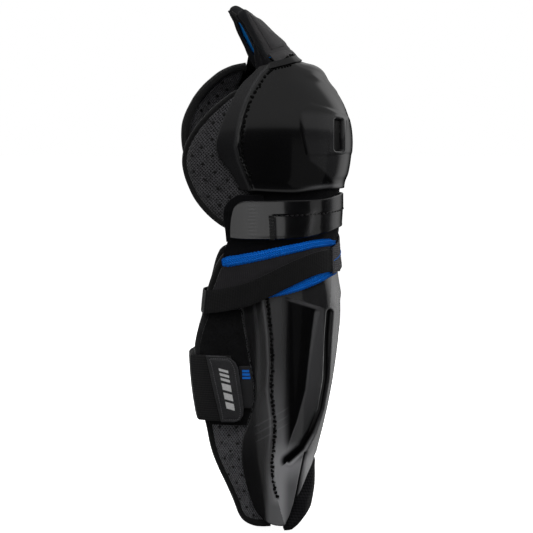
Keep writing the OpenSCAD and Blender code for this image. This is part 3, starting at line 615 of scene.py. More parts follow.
def shell_detail(P, Z, Q):
    U, V = side(Q)
    dl, sl, _ = front_of(U, V, FACET_L); dr, sr, _ = front_of(U, V, FACET_R)
    line = 221.6 - (U - 20) * 0.307
    top = lin(line - V, 0, 2.0 + 3.6 * lin(U, 20, 50))
    foot = ss(V, 72, 88)
    rec = ss(U, 15, 29) * foot
    ridge = 0.9 * ss(U, 40, 56) * (1 - ss(V, 222, 240))
    # recess, then the flat facet up to the rib, then the ridge
    t = np.clip(sl / np.maximum(sl - sr, 0.5), 0, 1)
    facet = mix(-2.0, 1.0, t)
    D = np.where(sl < 0, -2.0 * rec, np.where(sr < 0, mix(0.0, facet, foot), ridge))
    D = mix(ridge, D, top)
    # groove beside the front ridge
    dg, sg, run = front_of(U, V, GROOVE)
    tail = 1 - 0.35 * ss(run, 120, 160)
    D = D - 2.5 * (1 - ss(dg, 1.0 * tail, 3.5 * tail))
    D = D + 0.35 * np.exp(-((dg - 4.4) / 1.0) ** 2) * (dg < 8)
    D = D - 1.3 * np.exp(-(front_of(U, V, FOLD)[0] / 1.2) ** 2)
    ds, sgn, _ = front_of(U, V, SHELL_SEAM)
    D = D + 0.5 * (1 - ss(sgn, -3.6, -1.8)) * ss(V, 12, 40) - 0.45 * np.exp(-(ds / 1.2) ** 2)
    D = D + 2.0*np.exp(-(P/15)**2)*ss(Z, 216, 226)*(1 - ss(Z, 244, 252))
    return np.maximum(D, -3.0)


def band_detail(P, Z, Q):
    U, V = side(Q)
    lo = tab(BAND_LOW, np.abs(P))
    D = 0.35 * np.exp(-((Z - lo - 1.5) / 1.6) ** 2)
    zz = 302 + 5 * (1 - np.abs(P) / 92).clip(0) ** 1.6
    D = D - 0.4 * np.exp(-((Z - zz) / 1.1) ** 2) * (1 - ss(np.abs(P), 92, 96)) - 0.45 * (1 - ss(Z - zz, -1.5, 0.0)) * (1 - ss(np.abs(P), 90, 95))
    return D


def paint(ob, mask, mat):
    """Gives the faces whose outer-grid vertices are all in mask (a grid of booleans) a second material."""
    ob.data.materials.append(mat); k = len(ob.data.materials) - 1
    n = mask.size; m = np.concatenate([mask.ravel() & False, mask.ravel()])
    for p in ob.data.polygons:
        if all(m[i] for i in p.vertices):
            p.material_index = k


def cap_painted_light(P, Z, Q):
    """Painted light on the cap moulding and dullness of the plastic: (painted reflections, highlights and shade,
    dullness) per grid point.
    """
    U, V = side(Q); s = front_of(U, V, CAP_RIM)[1]; main = ss(s, -0.5, 1)
    # painted reflection: a lighter zone on the front right of the cap, brighter towards the front
    bx = np.interp(V, [329, 340, 348, 366.7, 391, 394], [64, 52.5, 41.5, 36.3, 33, 31])
    k = ss(U - bx, -1.5, 3)*(1 - ss(V, 389, 396))
    # painted shade: a dark line along the top crease of the vent panel
    crease_shade = np.exp(-(front_of(U, V, [(28.5, 396), (33, 392.5), (39, 398), (50, 395), (62, 392.5)])[0]/0.8)**2)*main*(0.4 + 0.6*np.sin(U*0.9)**2)
    # painted shade: the vent slot gets none of the lighter paint and loses most of its gloss
    qx = np.abs(U - 68.6) - 2.2; qy = np.abs(V - 373.0) - 13.2
    sd = np.hypot(np.maximum(qx, 0), np.maximum(qy, 0)) + np.minimum(np.maximum(qx, qy), 0) - 2.3
    shade_mask = 1 - ss(sd, -1.2, 0.3)
    # the flange is painted a little lighter, with a painted highlight just behind the rim
    t = main*(1 - crease_shade)*(0.002 + k*(0.014 + 0.018*ss(U, 45, 76)*(0.6 + 0.4*ss(V, 340, 380)))) + (1 - main)*(0.006 + 0.02*np.exp(-((s + 2.2)/1.0)**2))
    # painted highlight along the rolled lower lip; the strip under the lip is painted as shade like the slot
    low = Z - tab(CAP_LOW, np.abs(P)); lip_highlight = np.exp(-((low - 3.4)/1.5)**2)*main*ss(U, 26, 52)
    shade_mask = np.maximum(shade_mask, (1 - ss(low, 0.8, 2.2))*main)
    return t*(1 - shade_mask) + 0.09*lip_highlight, shade_mask*0.9


# Painted light on the shin shell: painted reflections, highlights and shade per grid point, plus pale lines; the second
# value takes the gloss off the recess, groove and fold.
def shell_painted_light_and_lines(P, Z, Q):
    U, V = side(Q)
    sg = front_of(U, V, SHELL_SEAM)[1]; sl = front_of(U, V, FACET_L)[1]; sr = front_of(U, V, FACET_R)[1]
    dg, sgr, run = front_of(U, V, GROOVE); fold_shadow = 0.985*np.exp(-(front_of(U, V, FOLD)[0]/1.35)**4); line = 221.6 - (U - 20)*0.307
    inside = ss(V, 72, 86)*ss(line - V, -1, 2)
    rec = ss(U, 15, 25)*inside*(1 - ss(sl, -0.6, 0.8)); facet_reflection = inside*ss(sl, -0.4, 1.0)*(1 - ss(sr, -0.8, 0.8))
    left = 1 - ss(sg, -1.5, 0)
    # painted reflection behind the seam: a lighter band across the middle, a painted highlight line beside the seam and
    # lighter paint low down
    left_reflection = 0.006 + 0.034*np.exp(-((V - 106)/26)**2)*(0.35 + 0.65*ss(sg, -16, -3)) + 0.055*np.exp(-((sg + 3.6)/1.2)**2)*ss(V, 55, 100) + 0.05*ss(sg, -9, -2)*(1 - ss(V, 60, 95))
    left_reflection = left_reflection + 0.02*np.exp(-((sg + 12)/2.0)**2)*ss(V, 120, 150)
    left_reflection = left_reflection + 0.10*ss(U, -1, 5)*(1 - ss(V, 28, 72))
    # painted reflection in front of the seam: lighter towards the bottom, with darker patches
    front_reflection = mix(0.15, 0.026, ss(V, 55, 175))*(1 - 0.55*ss(U, 14, 24)*(1 - ss(V, 40, 66)))*(1 - 0.45*ss(U, 11, 20)*ss(V, 90, 120))
    t = left*left_reflection + (1 - left)*front_reflection
    # painted shade in the recess, painted reflection on the flat facet
    t = mix(t, 0.0012, rec); t = mix(t, 0.030 + 0.020*ss(V, 90, 150), facet_reflection)
    # painted highlight on the front ridge beside the groove
    t = mix(t, 0.040 + 0.06*ss(sgr, 4, 12), ss(sgr, 2.2, 4.5)*ss(V, 62, 76))
    # painted highlight along the bevel above the recess
    bev = line - V
    t = mix(t, 0.095, ss(bev, -0.6, 0.8)*(1 - ss(bev, 2.2, 4.2))*ss(U, 19, 27)*(1 - ss(U, 48, 54)))
    # painted shade in the groove
    wd = ss(run, 60, 125)
    groove_shade = (1 - ss(np.where(sgr < 0, dg/(1 + 2.2*wd), dg), 1.5, 3.1)); t = t*(1 - groove_shade)
    # lighter paint low on the front; painted shadow along the fold
    t = t*(1 + 0.8*(1 - left)*(1 - ss(V, 66, 92)))*(1 - fold_shadow)
    # pale scuff lines across the neck
    for k in range(3):
        t = t + 0.03*np.exp(-((V - 92 - 7.5*k - 0.55*(U - 4))/0.6)**2)*ss(U, -12, -4)*(1 - ss(U, 17, 24))
    return t, np.maximum(np.maximum(rec*0.88, groove_shade*0.97), fold_shadow)


def band_painted_light(P, Z, Q):
    # painted highlights and reflection on the band: a light zone on the front right, a narrow slanted light stripe and
    # streaky lighter paint on the left
    U, V = side(Q)
    t = 0.030*np.exp(-((U - 66)/7)**2) + 0.022*np.exp(-((U - 44 - 0.25*(V - 290))/3)**2)*(1 - ss(V, 300, 306)) + 0.010*(1 + np.sin(Z*1.9))*np.exp(-((U + 12)/10)**2)
    return t, 0*t


def hard(name, T, f, nu, nv, detail, mat, lu, lv, wall=2.4, r=1.3, masks=(), painted_light_and_marks=None):
    us, vs = ticks(nu, 0.012, 5), ticks(nv, 0.012 * lu / lv, 5)
    u, v = np.meshgrid(us, vs, indexing="ij"); P, Z = f(u, v); P = P + 0*u; Z = Z + 0*u
    Q = skin(T, P, Z); D = detail(P, Z, Q)
    drop = edge_round(us, vs, lu, lv, r, wall * 0.5)
    o = D - drop; i = np.minimum(D, 0) - wall + drop
    i = np.minimum(i, o - 0.2)
    ob = slab(name, skin(T, P, Z, i), skin(T, P, Z, o), mat, unroll(P, Z), 50)
    for fn, mt in masks:
        paint(ob, fn(P, Z, Q), mt)
    if painted_light_and_marks:
        # painted light: sh is the painted reflection, highlight and shade colour per point, dull the share of gloss
        # taken off; both go on the outer face only
        sh, dull = painted_light_and_marks(P, Z, Q)
        col = np.concatenate([0*sh.ravel(), sh.ravel()])[:, None]*np.array([1.0, 1.0, 1.04])
        at = ob.data.attributes.new("painted_light_and_marks", "FLOAT_VECTOR", "POINT"); at.data.foreach_set("vector", col.ravel().astype(np.float32))
        at = ob.data.attributes.new("matt", "FLOAT", "POINT"); at.data.foreach_set("value", np.concatenate([0*dull.ravel(), dull.ravel()]).astype(np.float32))
    return ob


def surf(T, o, detail=None):
    """Point on a skin above the moulded detail."""
    def g(P, Z):
        P = np.asarray(P, float); Z = np.asarray(Z, float)
        Q = skin(T, P, Z); D = detail(P, Z, Q) if detail else 0*P
        return skin(T, P, Z, o + D)
    return g


def solve(T, U0, V0, sgn, guess=None):
    """Angle and height on a skin where the side view shows (U0, V0), on the right (sgn -1) or left."""
    p = np.linspace(2, 125, 160)[:, None]; z = np.asarray(V0, float)[None, :] + np.linspace(-4, 8, 25)[:, None]
    out = []
    for U1, V1 in zip(np.atleast_1d(U0), np.atleast_1d(V0)):
        zz = V1 + np.linspace(-2, 8, 41)
        PP, ZZ = np.meshgrid(p[:, 0], zz, indexing="ij")
        U, V = side(oval(T, -PP, ZZ)); e = np.hypot(U - U1, V - V1)
        i, j = np.unravel_index(np.argmin(e), e.shape)
        pp = np.linspace(PP[i, j] - 1.2, PP[i, j] + 1.2, 41); z2 = np.linspace(ZZ[i, j] - 0.4, ZZ[i, j] + 0.4, 17)
        P2, Z2 = np.meshgrid(pp, z2, indexing="ij"); U, V = side(oval(T, -P2, Z2)); e = np.hypot(U - U1, V - V1)
        i, j = np.unravel_index(np.argmin(e), e.shape); out.append((sgn * P2[i, j], Z2[i, j]))
    return np.array(out)


def seam_curve(T, pts, sgn):
    """f(t) for a seam drawn in the side view."""
    pts = np.array(pts, float); L = np.concatenate([[0], np.cumsum(np.hypot(*np.diff(pts, axis=0).T))]); L /= L[-1]
    s = np.linspace(0, 1, 16); PZ = solve(T, np.interp(s, L, pts[:, 0]), np.interp(s, L, pts[:, 1]), sgn)
    def f(t):
        k = np.asarray(t) * 15; i = np.clip(k.astype(int), 0, 14); w = k - i
        # smooth through the points
        a = PZ[np.clip(i - 1, 0, 15)]; b = PZ[i]; c = PZ[i + 1]; d = PZ[np.clip(i + 2, 0, 15)]
        w = w[..., None]
        r = 0.5 * ((2*b) + (-a + c)*w + (2*a - 5*b + 4*c - d)*w*w + (-a + 3*b - 3*c + d)*w**3)
        return r[..., 0], r[..., 1]
    return f


def ticks_across(T, f, n, half, o, slant=0.0):
    """Short stitches lying across a seam."""
    out = []
    t = (np.arange(n) + 0.5) / n; P, Z = f(t); c = skin(T, P, Z, o); N = normal(T, P, Z)
    P2, Z2 = f(np.clip(t + 0.01, 0, 1)); P1, Z1 = f(np.clip(t - 0.01, 0, 1)); d = unit(skin(T, P2, Z2, o) - skin(T, P1, Z1, o))
    for i in range(n):
        x = unit(np.cross(N[i], d[i])) + slant * d[i]
        out.append((c[i] - half * x, c[i] + half * x, N[i]))
    return out


# ------------------------------------------------------------------ hard shells
def cap_z(u, v):
    a = np.abs(u); return mix(tab(CAP_LOW, 116*a), 455.5 - 14*a**2, v)


def cap_pz(u, v):
    s = 2*u - 1; return s * tab(CAP_EDGE, v), cap_z(s, v)


def foot_z(s):
    return 72 * tab(SHELL_FOOT, np.abs(s))


def shell_pz(u, v):
    s = 2*u - 1; z = mix(foot_z(s), 262 - 16*np.abs(s)**8, v); return s * tab(SHELL_EDGE, z), z


def band_pz(u, v):
    s = 2*u - 1; a = np.abs(s)
    lo = tab(BAND_LOW, 126*a) + 2.0*a**26; hi = tab(BAND_TOP, 126*a)
    c = lin(a, 0.925, 1.0); hi = hi - 10.5*(1 - np.sqrt(1 - 0.998*c*c))
    return s * mix(126, 122, v*v) * np.where(s > 0, 0.945, 1.0), mix(lo, hi, v)


q = 1
cap = hard("knee_cap_moulding", KNEE, cap_pz, int(330*q), int(150*q), cap_detail, M["shell"], 300, 130,
           masks=[(cap_flange_mask, M["flange"]), (vent_mask, M["dot"])], painted_light_and_marks=cap_painted_light)
hook(cap, "knee", ["knee_cap_shell"])
shell = hard("shin_shell_moulding", SHIN, shell_pz, int(300*q), int(270*q), shell_detail, M["shell"], 260, 235, painted_light_and_marks=shell_painted_light_and_lines)
hook(shell, "shin", ["shin_shell"])
band = hard("knee_band_moulding", KNEE, band_pz, int(240*q), int(44*q), band_detail, M["band"], 280, 35, wall=2.4, r=1.2, painted_light_and_marks=band_painted_light)
hook(band, "band", ["knee_band_shell"])

# stitches on the shells
segs = []
for sgn in (-1, 1):
    f = seam_curve(KNEE, CAP_SEAM, sgn)
    segs += along(KNEE, f, 34, lambda P, Z: 0.15 + top_dip(P, Z), 0.66)
    g = lambda t, f=f, sgn=sgn: (f(t)[0] + sgn*1.1*np.sin(t*31), f(t)[1] + 0.8*np.sin(t*47))
    segs += along(KNEE, g, 26, lambda P, Z: 0.2 + top_dip(P, Z), 0.4)
hook(capsules("cap_seam_stitches", segs, 1.0, M["stitch"], wob=0.25), "knee", ["cap_stitching"])
segs = []
for sgn in (-1, 1):
    f = seam_curve(SHIN, SHELL_SEAM, sgn)
    h_ = lambda t, f=f, sgn=sgn: (f(t)[0] + sgn*0.45*np.sin(t*140), f(t)[1])
    segs += along(SHIN, h_, 56, 0.0, 0.8)
    g = lambda t, f=f, sgn=sgn: (f(t)[0] - sgn*(1.0 + 0.5*np.sin(t*83)), f(t)[1] + 0.7*np.sin(t*59))
    segs += ticks_across(SHIN, g, 42, 1.35, 0.25, 0.45)
hook(capsules("shin_seam_stitches", segs, 1.05, M["stitch"], wob=0.25), "shin", ["shin_stitching"])
segs = along(KNEE, lambda t: (mix(-92, 92, t), 302 + 5*(1 - np.abs(2*t - 1))**1.6), 46, -0.1, 0.6)
for sgn in (-1, 1):
    for k in range(3):
        segs += along(KNEE, lambda t, k=k: (sgn*(93.4 + 1.5*k), mix(279.5, 302.5, t)), 8, 0.05, 0.75)
    segs += ticks_across(KNEE, lambda t: (sgn*95 + 0*t, mix(279.5, 302.5, t)), 15, 2.4, 0.25, 0.25)
hook(capsules("band_seam_stitches", segs, 0.6, M["thread"]), "band", ["band_stitching"])


# ------------------------------------------------------------------ padding
def pad(name, T, f, nu, nv, o1, o2, mat, body=None, rep=(), size=(60, 100), e0=0.45, w=10, channels=None, cap=1.8,
        out=0.15, blend=None, seam=None, smooth=None, pressure=3.0):
    """Foam pad under cloth: thinner where it is sewn round its edge and along its channels, then swollen by the cloth solver."""
    us, vs = ticks(nu, 0.05, 1), ticks(nv, 0.05 * size[0] / size[1], 1)
    u, v = np.meshgrid(us, vs, indexing="ij"); P, Z = f(u, v); P = P + 0*u; Z = Z + 0*u
    d = np.minimum(np.minimum(u, 1 - u) * size[0], np.minimum(v, 1 - v) * size[1])
    k = ss(d, 0, w)
    if channels is not None:
        c = channels(u, v); k = k * c
    crown = e0 + (1 - e0) * k
    o2 = o2(P, Z) if callable(o2) else o2
    mid = (o1 + o2) / 2; half = (o2 - o1) / 2
    A, B = skin(T, P, Z, mid - half*crown), skin(T, P, Z, mid + half*crown*0.96)
    ob = slab(name, A, B, mat, unroll(P, Z), 0)
    wt = np.concatenate([k.ravel(), k.ravel() * out])
    puff(ob, lambda pts: wt, pressure, cap)
    return hook(ob, body, rep, blend)


def sheet(ob, w, l):
    me = ob.data; a = sum(p.area for p in me.polygons) / 2; k = a / (w*l*MM*MM)
    k = math.sqrt(k*1.002) if not 0.5 < k < 1 else 1.0
    return ob


def rows(n, depth=0.75, width=0.12):
    """Sewn channels: 1 on the pads, lower on the n - 1 lines between them along v."""
    def g(u, v):
        x = np.abs((v * n + 0.5) % 1 - 0.5) * 2 / n  # distance to the nearest line, as a share of v
        inner = (v > 0.5 / n) & (v < 1 - 0.5 / n)
        return np.where(inner, 1 - depth * (1 - ss(x, 0, width / n * 2.2)), 1)
    return g


pad("shin_liner_center_pad", SHIN, lambda u, v: (mix(-36, 36, u), mix(78, 250, v)), 16, 40, -12.5, -4.4, M["foam"],
    "shin", ["shin_liner_center"], (80, 170), channels=rows(4))
for sd, nm in ((-1, "right"), (1, "left")):
    pad(f"shin_liner_{nm}_pad", SHIN, lambda u, v, s=sd: (s*mix(mix(62, 40, np.minimum(1, v*2.2)), 88, u), mix(mix(16, 12, u), 246, v)), 12, 48,
        -12.5, -4.4, M["foam"], "shin", [f"shin_liner_{nm}"], (45, 230), channels=rows(4))
pad("knee_liner_pad", KNEE, lambda u, v: ((2*u - 1)*82, mix(335, 426, v)), 40, 22, -12.5, -4.4, M["foam"], "knee", ["knee_liner"], (200, 90),
    channels=lambda u, v: (1 - 0.7*(1 - ss(np.abs(np.abs(2*u - 1) - 0.5), 0, 0.06))))
pad("patella_pad_round", KNEE, lambda u, v: ((2*u - 1)*mix(30, 36, 1 - (2*v - 1)**2), mix(352, 404, v)), 18, 14, -17.5, -13.2, M["foam"],
    "knee", ["patella_pad"], (76, 52), e0=0.25, w=14, cap=1.2)
pad("knee_band_lining", KNEE, lambda u, v: ((2*u - 1)*84, mix(284 + 8*(1 - np.abs(2*u - 1)), 311 + 5*(1 - np.abs(2*u - 1)), v)), 44, 8, -8, -3.6, M["foam"],
    "band", ["knee_band_pad"], (200, 25), w=6, cap=1.0)
def instep_pz(u, v):
    p = (2*u - 1)*tab(INSTEP, mix(0.5, 71, v)); return p, mix(tab(PAD_LOW, np.abs(p)), 71, v)


pad("instep_pad_cushion", SHIN, instep_pz, 44, 30, -9.5, lambda P, Z: mix(-2.9, tab(PAD_OUT, Z), ss(tab(TONGUE, Z) - np.abs(P), -1, 15)), M["instep"],
    "shin", ["instep_pad", "instep_pad_face"], (96, 70), e0=0.5, w=8, cap=1.6, out=0.6)


# ------------------------------------------------------------------ wings
def smooth_path(pts, n=120, it=2):
    p = np.asarray(pts, float)
    for _ in range(it):
        a = 0.75*p[:-1] + 0.25*p[1:]; b = 0.25*p[:-1] + 0.75*p[1:]
        p = np.concatenate([p[:1], np.stack([a, b], 1).reshape(-1, p.shape[1]), p[-1:]])
    L = np.concatenate([[0], np.cumsum(np.linalg.norm(np.diff(p, axis=0), axis=1))])
    t = np.linspace(0, L[-1], n)
    return np.stack([np.interp(t, L, p[:, k]) for k in range(p.shape[1])], 1)


def edge_tube(name, T, PZ, o, ra, rb, mat, body=None, rep=(), blend=None, n=160, uscale=60.0):
    """Folded tape round an edge: PZ are (angle, height) rows of the edge, o the tape's middle offset."""
    flat = PZ.copy(); flat[:, 0] = np.radians(PZ[:, 0]) * uscale
    flat = smooth_path(flat, n); P = np.degrees(flat[:, 0] / uscale); Z = flat[:, 1]
    ob = tube(name, skin(T, P, Z, o), ra, rb, normal(T, P, Z), mat, 16)
    return hook(ob, body, rep, blend)


def wing(tag, T, S, s, z0, z1, pin, nu, nv, o1, o2, size, body, rep, blend, out, dots, dr, dh, wall_w=5):
    f = lambda u, v: (s*mix(pin(mix(z0, z1, v)), tab(S, mix(z0, z1, v)) - 1.6, u), mix(z0, z1, v))
    # knee wings use the darker copy of the mesh, painted shade
    ob = pad(tag + "_pad", T, f, nu, nv, o1, o2, M["mesh_knee_shaded" if T is KNEE else "mesh"], body, [rep], size, e0=0.62, w=9, cap=1.3, out=out, blend=blend)
    tree = bvh(ob); spots = []
    R = 62.0
    for i, z in enumerate(np.arange(z0 + 8, z1 - 6, dots * 0.62)):
        lo, hi = math.radians(float(pin(z)))*R + 5, math.radians(float(tab(S, z)))*R - 8
        for a in np.arange(80 + (i % 2)*dots*0.62, 200, dots*1.24):
            if lo < a < hi:
                p = s*math.degrees(a/R); c = skin(T, p, z, 12.0); n = normal(T, p, z)
                spots.append((c, -n)); spots.append((skin(T, p, z, -24.0), n))
    d = discs(tag + "_dots", tree, spots, dr, dh, M["dot"])
    hook(d, body, (), blend)
    return ob


def arc_rows(T_edge, s, z0, z1, inset, n=60):
    z = np.linspace(z0, z1, n)
    return np.stack([s*(tab(T_edge, z) - inset), z], 1)


for s, tag, S in ((-1, "right_calf_wing", R_CALF), (1, "left_calf_wing", L_CALF)):
    wing(tag, SHIN, S, s, 8.5, 266, lambda z: 91.5 + 0*z, 20, 60, -12, -4.2, (60, 258), "shin", tag, None, 0.35, 12.5, 1.25, 0.35)
    e = np.concatenate([[[s*96, 9.5], [s*108, 9.0], [s*118, 9.2]], arc_rows(S, s, 12, 264, 2.0), [[s*(tab(S, 268) - 8), 266.5], [s*(tab(S, 268) - 22), 266.6], [s*103, 266.6]]])
    edge_tube(tag + "_tape", SHIN, e, -8.1, 4.3, 4.9, M["bind"], "shin", [tag + "_binding"], n=300)
# brushed roll of the right wing's edge between the two straps
e = arc_rows(R_CALF, -1, 171, 216, 2.6)
edge_tube("right_calf_wing_roll", SHIN, e, -7.9, np.interp(np.linspace(0, 1, 80), [0, 0.08, 0.9, 1], [4.0, 6.0, 6.2, 4.0]), 5.6, M["roll"], "shin", n=80)

HX = -0.052
for s, tag, S, body, z0, z1 in ((-1, "right_knee_wing", R_KNEE, "right_wing", 288, 420), (1, "left_knee_wing", L_KNEE, "left_wing", 292, 445)):
    bl = ("knee", body, (HX + 0.008, s*0.062, 0.35), (HX - 0.008, s*0.062, 0.35))
    wing(tag, KNEE, S, s, z0, z1, lambda z, a=z0, b=z1: mix(111, 105, (z - a)/(b - a)), 18, 34, -13, -5.0, (55, 132), None, tag, bl, 0.5, 12.5, 1.5, 0.35)
    e = np.concatenate([[[s*(tab(S, z0) - 9), z0 + 1.0]], arc_rows(S, s, z0 + 2, z1 - 2, 1.6), [[s*(tab(S, z1) - 8), z1]]])
    edge_tube(tag + "_tape", KNEE, e, -8.8, 3.5, 4.8, M["bind"], None, [tag + "_binding"], bl, n=200)

# loop fabric, wrap panel, straps
def cloth_patch(name, T, f, nu, nv, o1, o2, mat, body=None, rep=(), size=(100, 100), blend=None, detail=None, r=0.6):
    ob = patch(name, T, f, nu, nv, o1, o2, mat, size, r=r, detail=detail, fe=0.02)
    hook(ob, body, rep, blend)
    return sheet(ob, size[0], size[1])


cloth_patch("instep_backing_cloth", SHIN, lambda u, v: ((2*u - 1)*(tab(INSTEP, mix(1.5, 71, v)) + 9*ss(v, 0.02, 0.3)), mix(tab(PAD_LOW, np.abs(2*u - 1)*tab(INSTEP, mix(1.5, 71, v))) + 1.0, 84, v)), 44, 34, -4.0, -3.05, M["instep"], "shin", [], (118, 82))


def pucker(amp, per, ang=0.0):
    def g(P, Z, Q):
        x = np.radians(P) * 60
        return amp * np.sin(2*np.pi*(x*math.cos(ang) + Z*math.sin(ang))/per) * np.sin(2*np.pi*Z/37 + x/23)
    return g


cloth_patch("loop_panel_cloth", SHIN, lambda u, v: (-mix(tab(SHELL_EDGE, mix(104, 214, v)) + 1.2, tab(R_CALF, mix(104, 214, v)) - 5, u), mix(104, 214, v)),
            24, 50, -3.4, -1.9, M["loop"], "shin", ["loop_panel"], (46, 110), detail=pucker(0.25, 31))
cloth_patch("left_loop_cloth", SHIN, lambda u, v: (mix(tab(SHELL_EDGE, mix(200, 246, v)) + 1.6, tab(L_CALF, mix(200, 246, v)) - 3.6, u), mix(200, 246, v)),
            14, 20, -3.4, -1.9, M["loop"], "shin", ["left_loop_patch"], (30, 46))
plow = lambda p: tab(PANEL_LOW, p)
ptop = lambda p: tab(PANEL_TOP, p)
cloth_patch("wrap_panel_cloth", SHIN, lambda u, v: (-mix(21, mix(139.5, 133.5, v), u), mix(plow(mix(21, 136, u)) + 4, ptop(mix(21, 134, u)) - 4, v)),
            76, 18, 0.5, 1.7, M["knit"], "shin", ["wrap_panel"], (130, 28), detail=pucker(0.22, 19, 0.5))
def piping(name, edge, p0, p1, inset, ra, rb, o, mat, rep, n=420):
    p = np.linspace(p0, p1, n); Z = edge(p) + inset(p)
    w = np.interp(p, [p0, p0 + 3, p1 - 4, p1], [0.55, 1, 1, 0.7])
    path = skin(SHIN, -p, Z, o); arc = np.concatenate([[0], np.cumsum(np.linalg.norm(np.diff(path, axis=0), axis=1))])
    w = w*(1 + 0.055*np.sin(arc*2*np.pi/3.4))
    ob = tube(name, path, ra(p)*w, rb*w, normal(SHIN, -p, Z), mat, 18)
    hook(ob, "shin", [rep])
    segs = []
    for sh in (-0.42, 0.42):
        segs += along(SHIN, lambda t: (-mix(p0 + 2, p1 - 2, t), edge(mix(p0 + 2, p1 - 2, t)) + inset(mix(p0 + 2, p1 - 2, t)) + sh*ra(mix(p0 + 2, p1 - 2, t))), int((p1 - p0)*0.55), o + rb*0.90, 0.55)
    hook(capsules(name + "_stitches", segs, 0.42, M["blue_thread"]), "shin")
    return ob


piping("wrap_upper_piping", ptop, 19, 134.5, lambda p: -np.interp(p, [19, 60, 134], [3.4, 3.9, 5.0]), lambda p: np.interp(p, [19, 60, 134], [3.4, 3.9, 5.0]), 1.6, 1.7, M["blue"], "wrap_panel_upper_binding")
piping("wrap_lower_piping", plow, 19, 116, lambda p: np.interp(p, [19, 60, 116], [5.0, 4.7, 3.0]), lambda p: np.interp(p, [19, 45, 70, 95, 116], [4.8, 4.9, 4.5, 3.2, 2.2]), 1.3, 1.5, M["blue"], "wrap_panel_lower_binding")


def strap_mesh(name, rails, thick, mat, body=None, rep=(), blend=None, edge=0.35):
    """Flat webbing: rails(e, o) gives the points of the line at share e of the width, o over the inner face."""
    es = ticks(10, 0.06, 2); g0 = np.stack([rails(e, 0.0 + edge*(1 - min(1, min(e, 1 - e)/0.06))) for e in es], 1)
    g1 = np.stack([rails(e, thick - edge*(1 - min(1, min(e, 1 - e)/0.06))) for e in es], 1)
    L = np.concatenate([[0], np.cumsum(np.linalg.norm(np.diff(g0[:, 0], axis=0), axis=1))]); W = np.linalg.norm(g0[0, -1] - g0[0, 0])
    uv = np.stack(np.broadcast_arrays(L[:, None], es[None, :]*W), -1)
    ob = slab(name, g0, g1, mat, uv, 40)
    return hook(ob, body, rep, blend)


def lift(p):
    return np.where(p < 126, 3.1, mix(3.1, 1.0, np.clip((p - 126)/15, 0, 1)))


UPW = 21


def strap_h(T, p):
    return UPW*np.sqrt(1 + ((tab(T, p + 1) - tab(T, p - 1))/2.3)**2)


def strap_line(T1, p0, pe, q0, q1, T2):
    def g(e, o):
        pr = np.linspace(p0, pe, 90); a = skin(SHIN, -pr, tab(T1, pr) + (e - 0.5)*strap_h(T1, pr), lift(pr) + o)
        pl = np.linspace(q0, q1, 10); b = skin(SHIN, pl, tab(T2, pl) + (e - 0.5)*strap_h(T2, pl), 1.0 + o)
        t = np.linspace(0, 1, 30)[1:-1, None]
        m = a[-1]*(1 - t) + b[0]*t
        m = m - np.array([1.6, 0, 0])*np.sin(np.pi*t)**0.8
        return np.concatenate([a, m, b])
    return g


strap = strap_mesh("upper_strap_webbing", strap_line(R_STRAP, 17, 143.5, 141, 138.2, L_STRAP), 1.7, M["web"], "shin", ["upper_strap"])
sheet(strap, 21, 300)
# tab on the far side, bending from the strap's end
ub = ("shin", "upper_tab", tuple(skin(SHIN, 140.5, 219.5, 1.8)*MM), tuple(skin(SHIN, 134.2, 220.5, 1.8)*MM))
utab = strap_mesh("upper_tab_strip", lambda e, o: skin(SHIN, np.linspace(138.2, 97, 60), tab(L_STRAP, np.linspace(138.2, 97, 60)) + (e - 0.5)*strap_h(L_STRAP, np.linspace(138.2, 97, 60)), 1.0 + o), 1.7, M["web"], None, ["upper_tab_webbing"], ub)
sheet(utab, 21, 62)
uh = patch("upper_tab_hooks", SHIN, lambda u, v: (mix(121, 133, u), tab(L_STRAP, mix(121, 133, u)) + (v - 0.5)*(UPW - 3)), 16, 10, -1.5, 0.8, M["hook"], (16, 18), r=0.5)
hook(uh, "upper_tab", ["upper_tab_hook"])
segs = []
for k in (99.5, 102.5, 119.5, 134):
    segs += along(SHIN, lambda t, k=k: (k + 0*t, tab(L_STRAP, k) + mix(-9, 9, t)), 8, 2.75, 0.6)
hook(capsules("upper_tab_stitches", segs, 0.45, M["grey_thread"]), "upper_tab")

# front anchor of the upper strap with its box stitch
anchor = cloth_patch("strap_anchor_cloth", SHIN, lambda u, v: (-mix(39, -15, u), mix(mix(245, 255, u), mix(270, 286, u), v)), 36, 16, 4.9, 6.5, M["anchor"],
                     "shin", ["strap_anchor_patch"], (62, 30))
segs = []
def box(u0, u1, v0, v1, n1, n2):
    P = lambda u: -mix(39, -15, u)
    Zf = lambda u, v: mix(mix(245, 255, u), mix(270, 286, u), v)
    out = []
    for v in (v0, v1):
        out += along(SHIN, lambda t, v=v: (P(mix(u0, u1, t)), Zf(mix(u0, u1, t), v)), n1, 6.6, 0.62)
    for u in (u0, u1):
        out += along(SHIN, lambda t, u=u: (P(u + 0*t), Zf(u + 0*t, mix(v0, v1, t))), n2, 6.6, 0.62)
    for a, b in ((v0, v1), (v1, v0)):
        out += along(SHIN, lambda t, a=a, b=b: (P(mix(u0, u1, t)), Zf(mix(u0, u1, t), mix(a, b, t))), n1, 6.65, 0.62)
    return out
hook(capsules("strap_anchor_stitches", box(0.06, 0.42, 0.14, 0.86, 10, 8), 0.42, M["grey_thread"]), "shin")
hook(capsules("strap_anchor_bar", along(SHIN, lambda t: (-mix(39, -15, mix(0.03, 0.97, t)), mix(mix(245, 255, mix(0.03, 0.97, t)), mix(270, 286, mix(0.03, 0.97, t)), 0.5)), 26, 6.7, 0.5), 0.45, M["blue_thread"]), "shin")

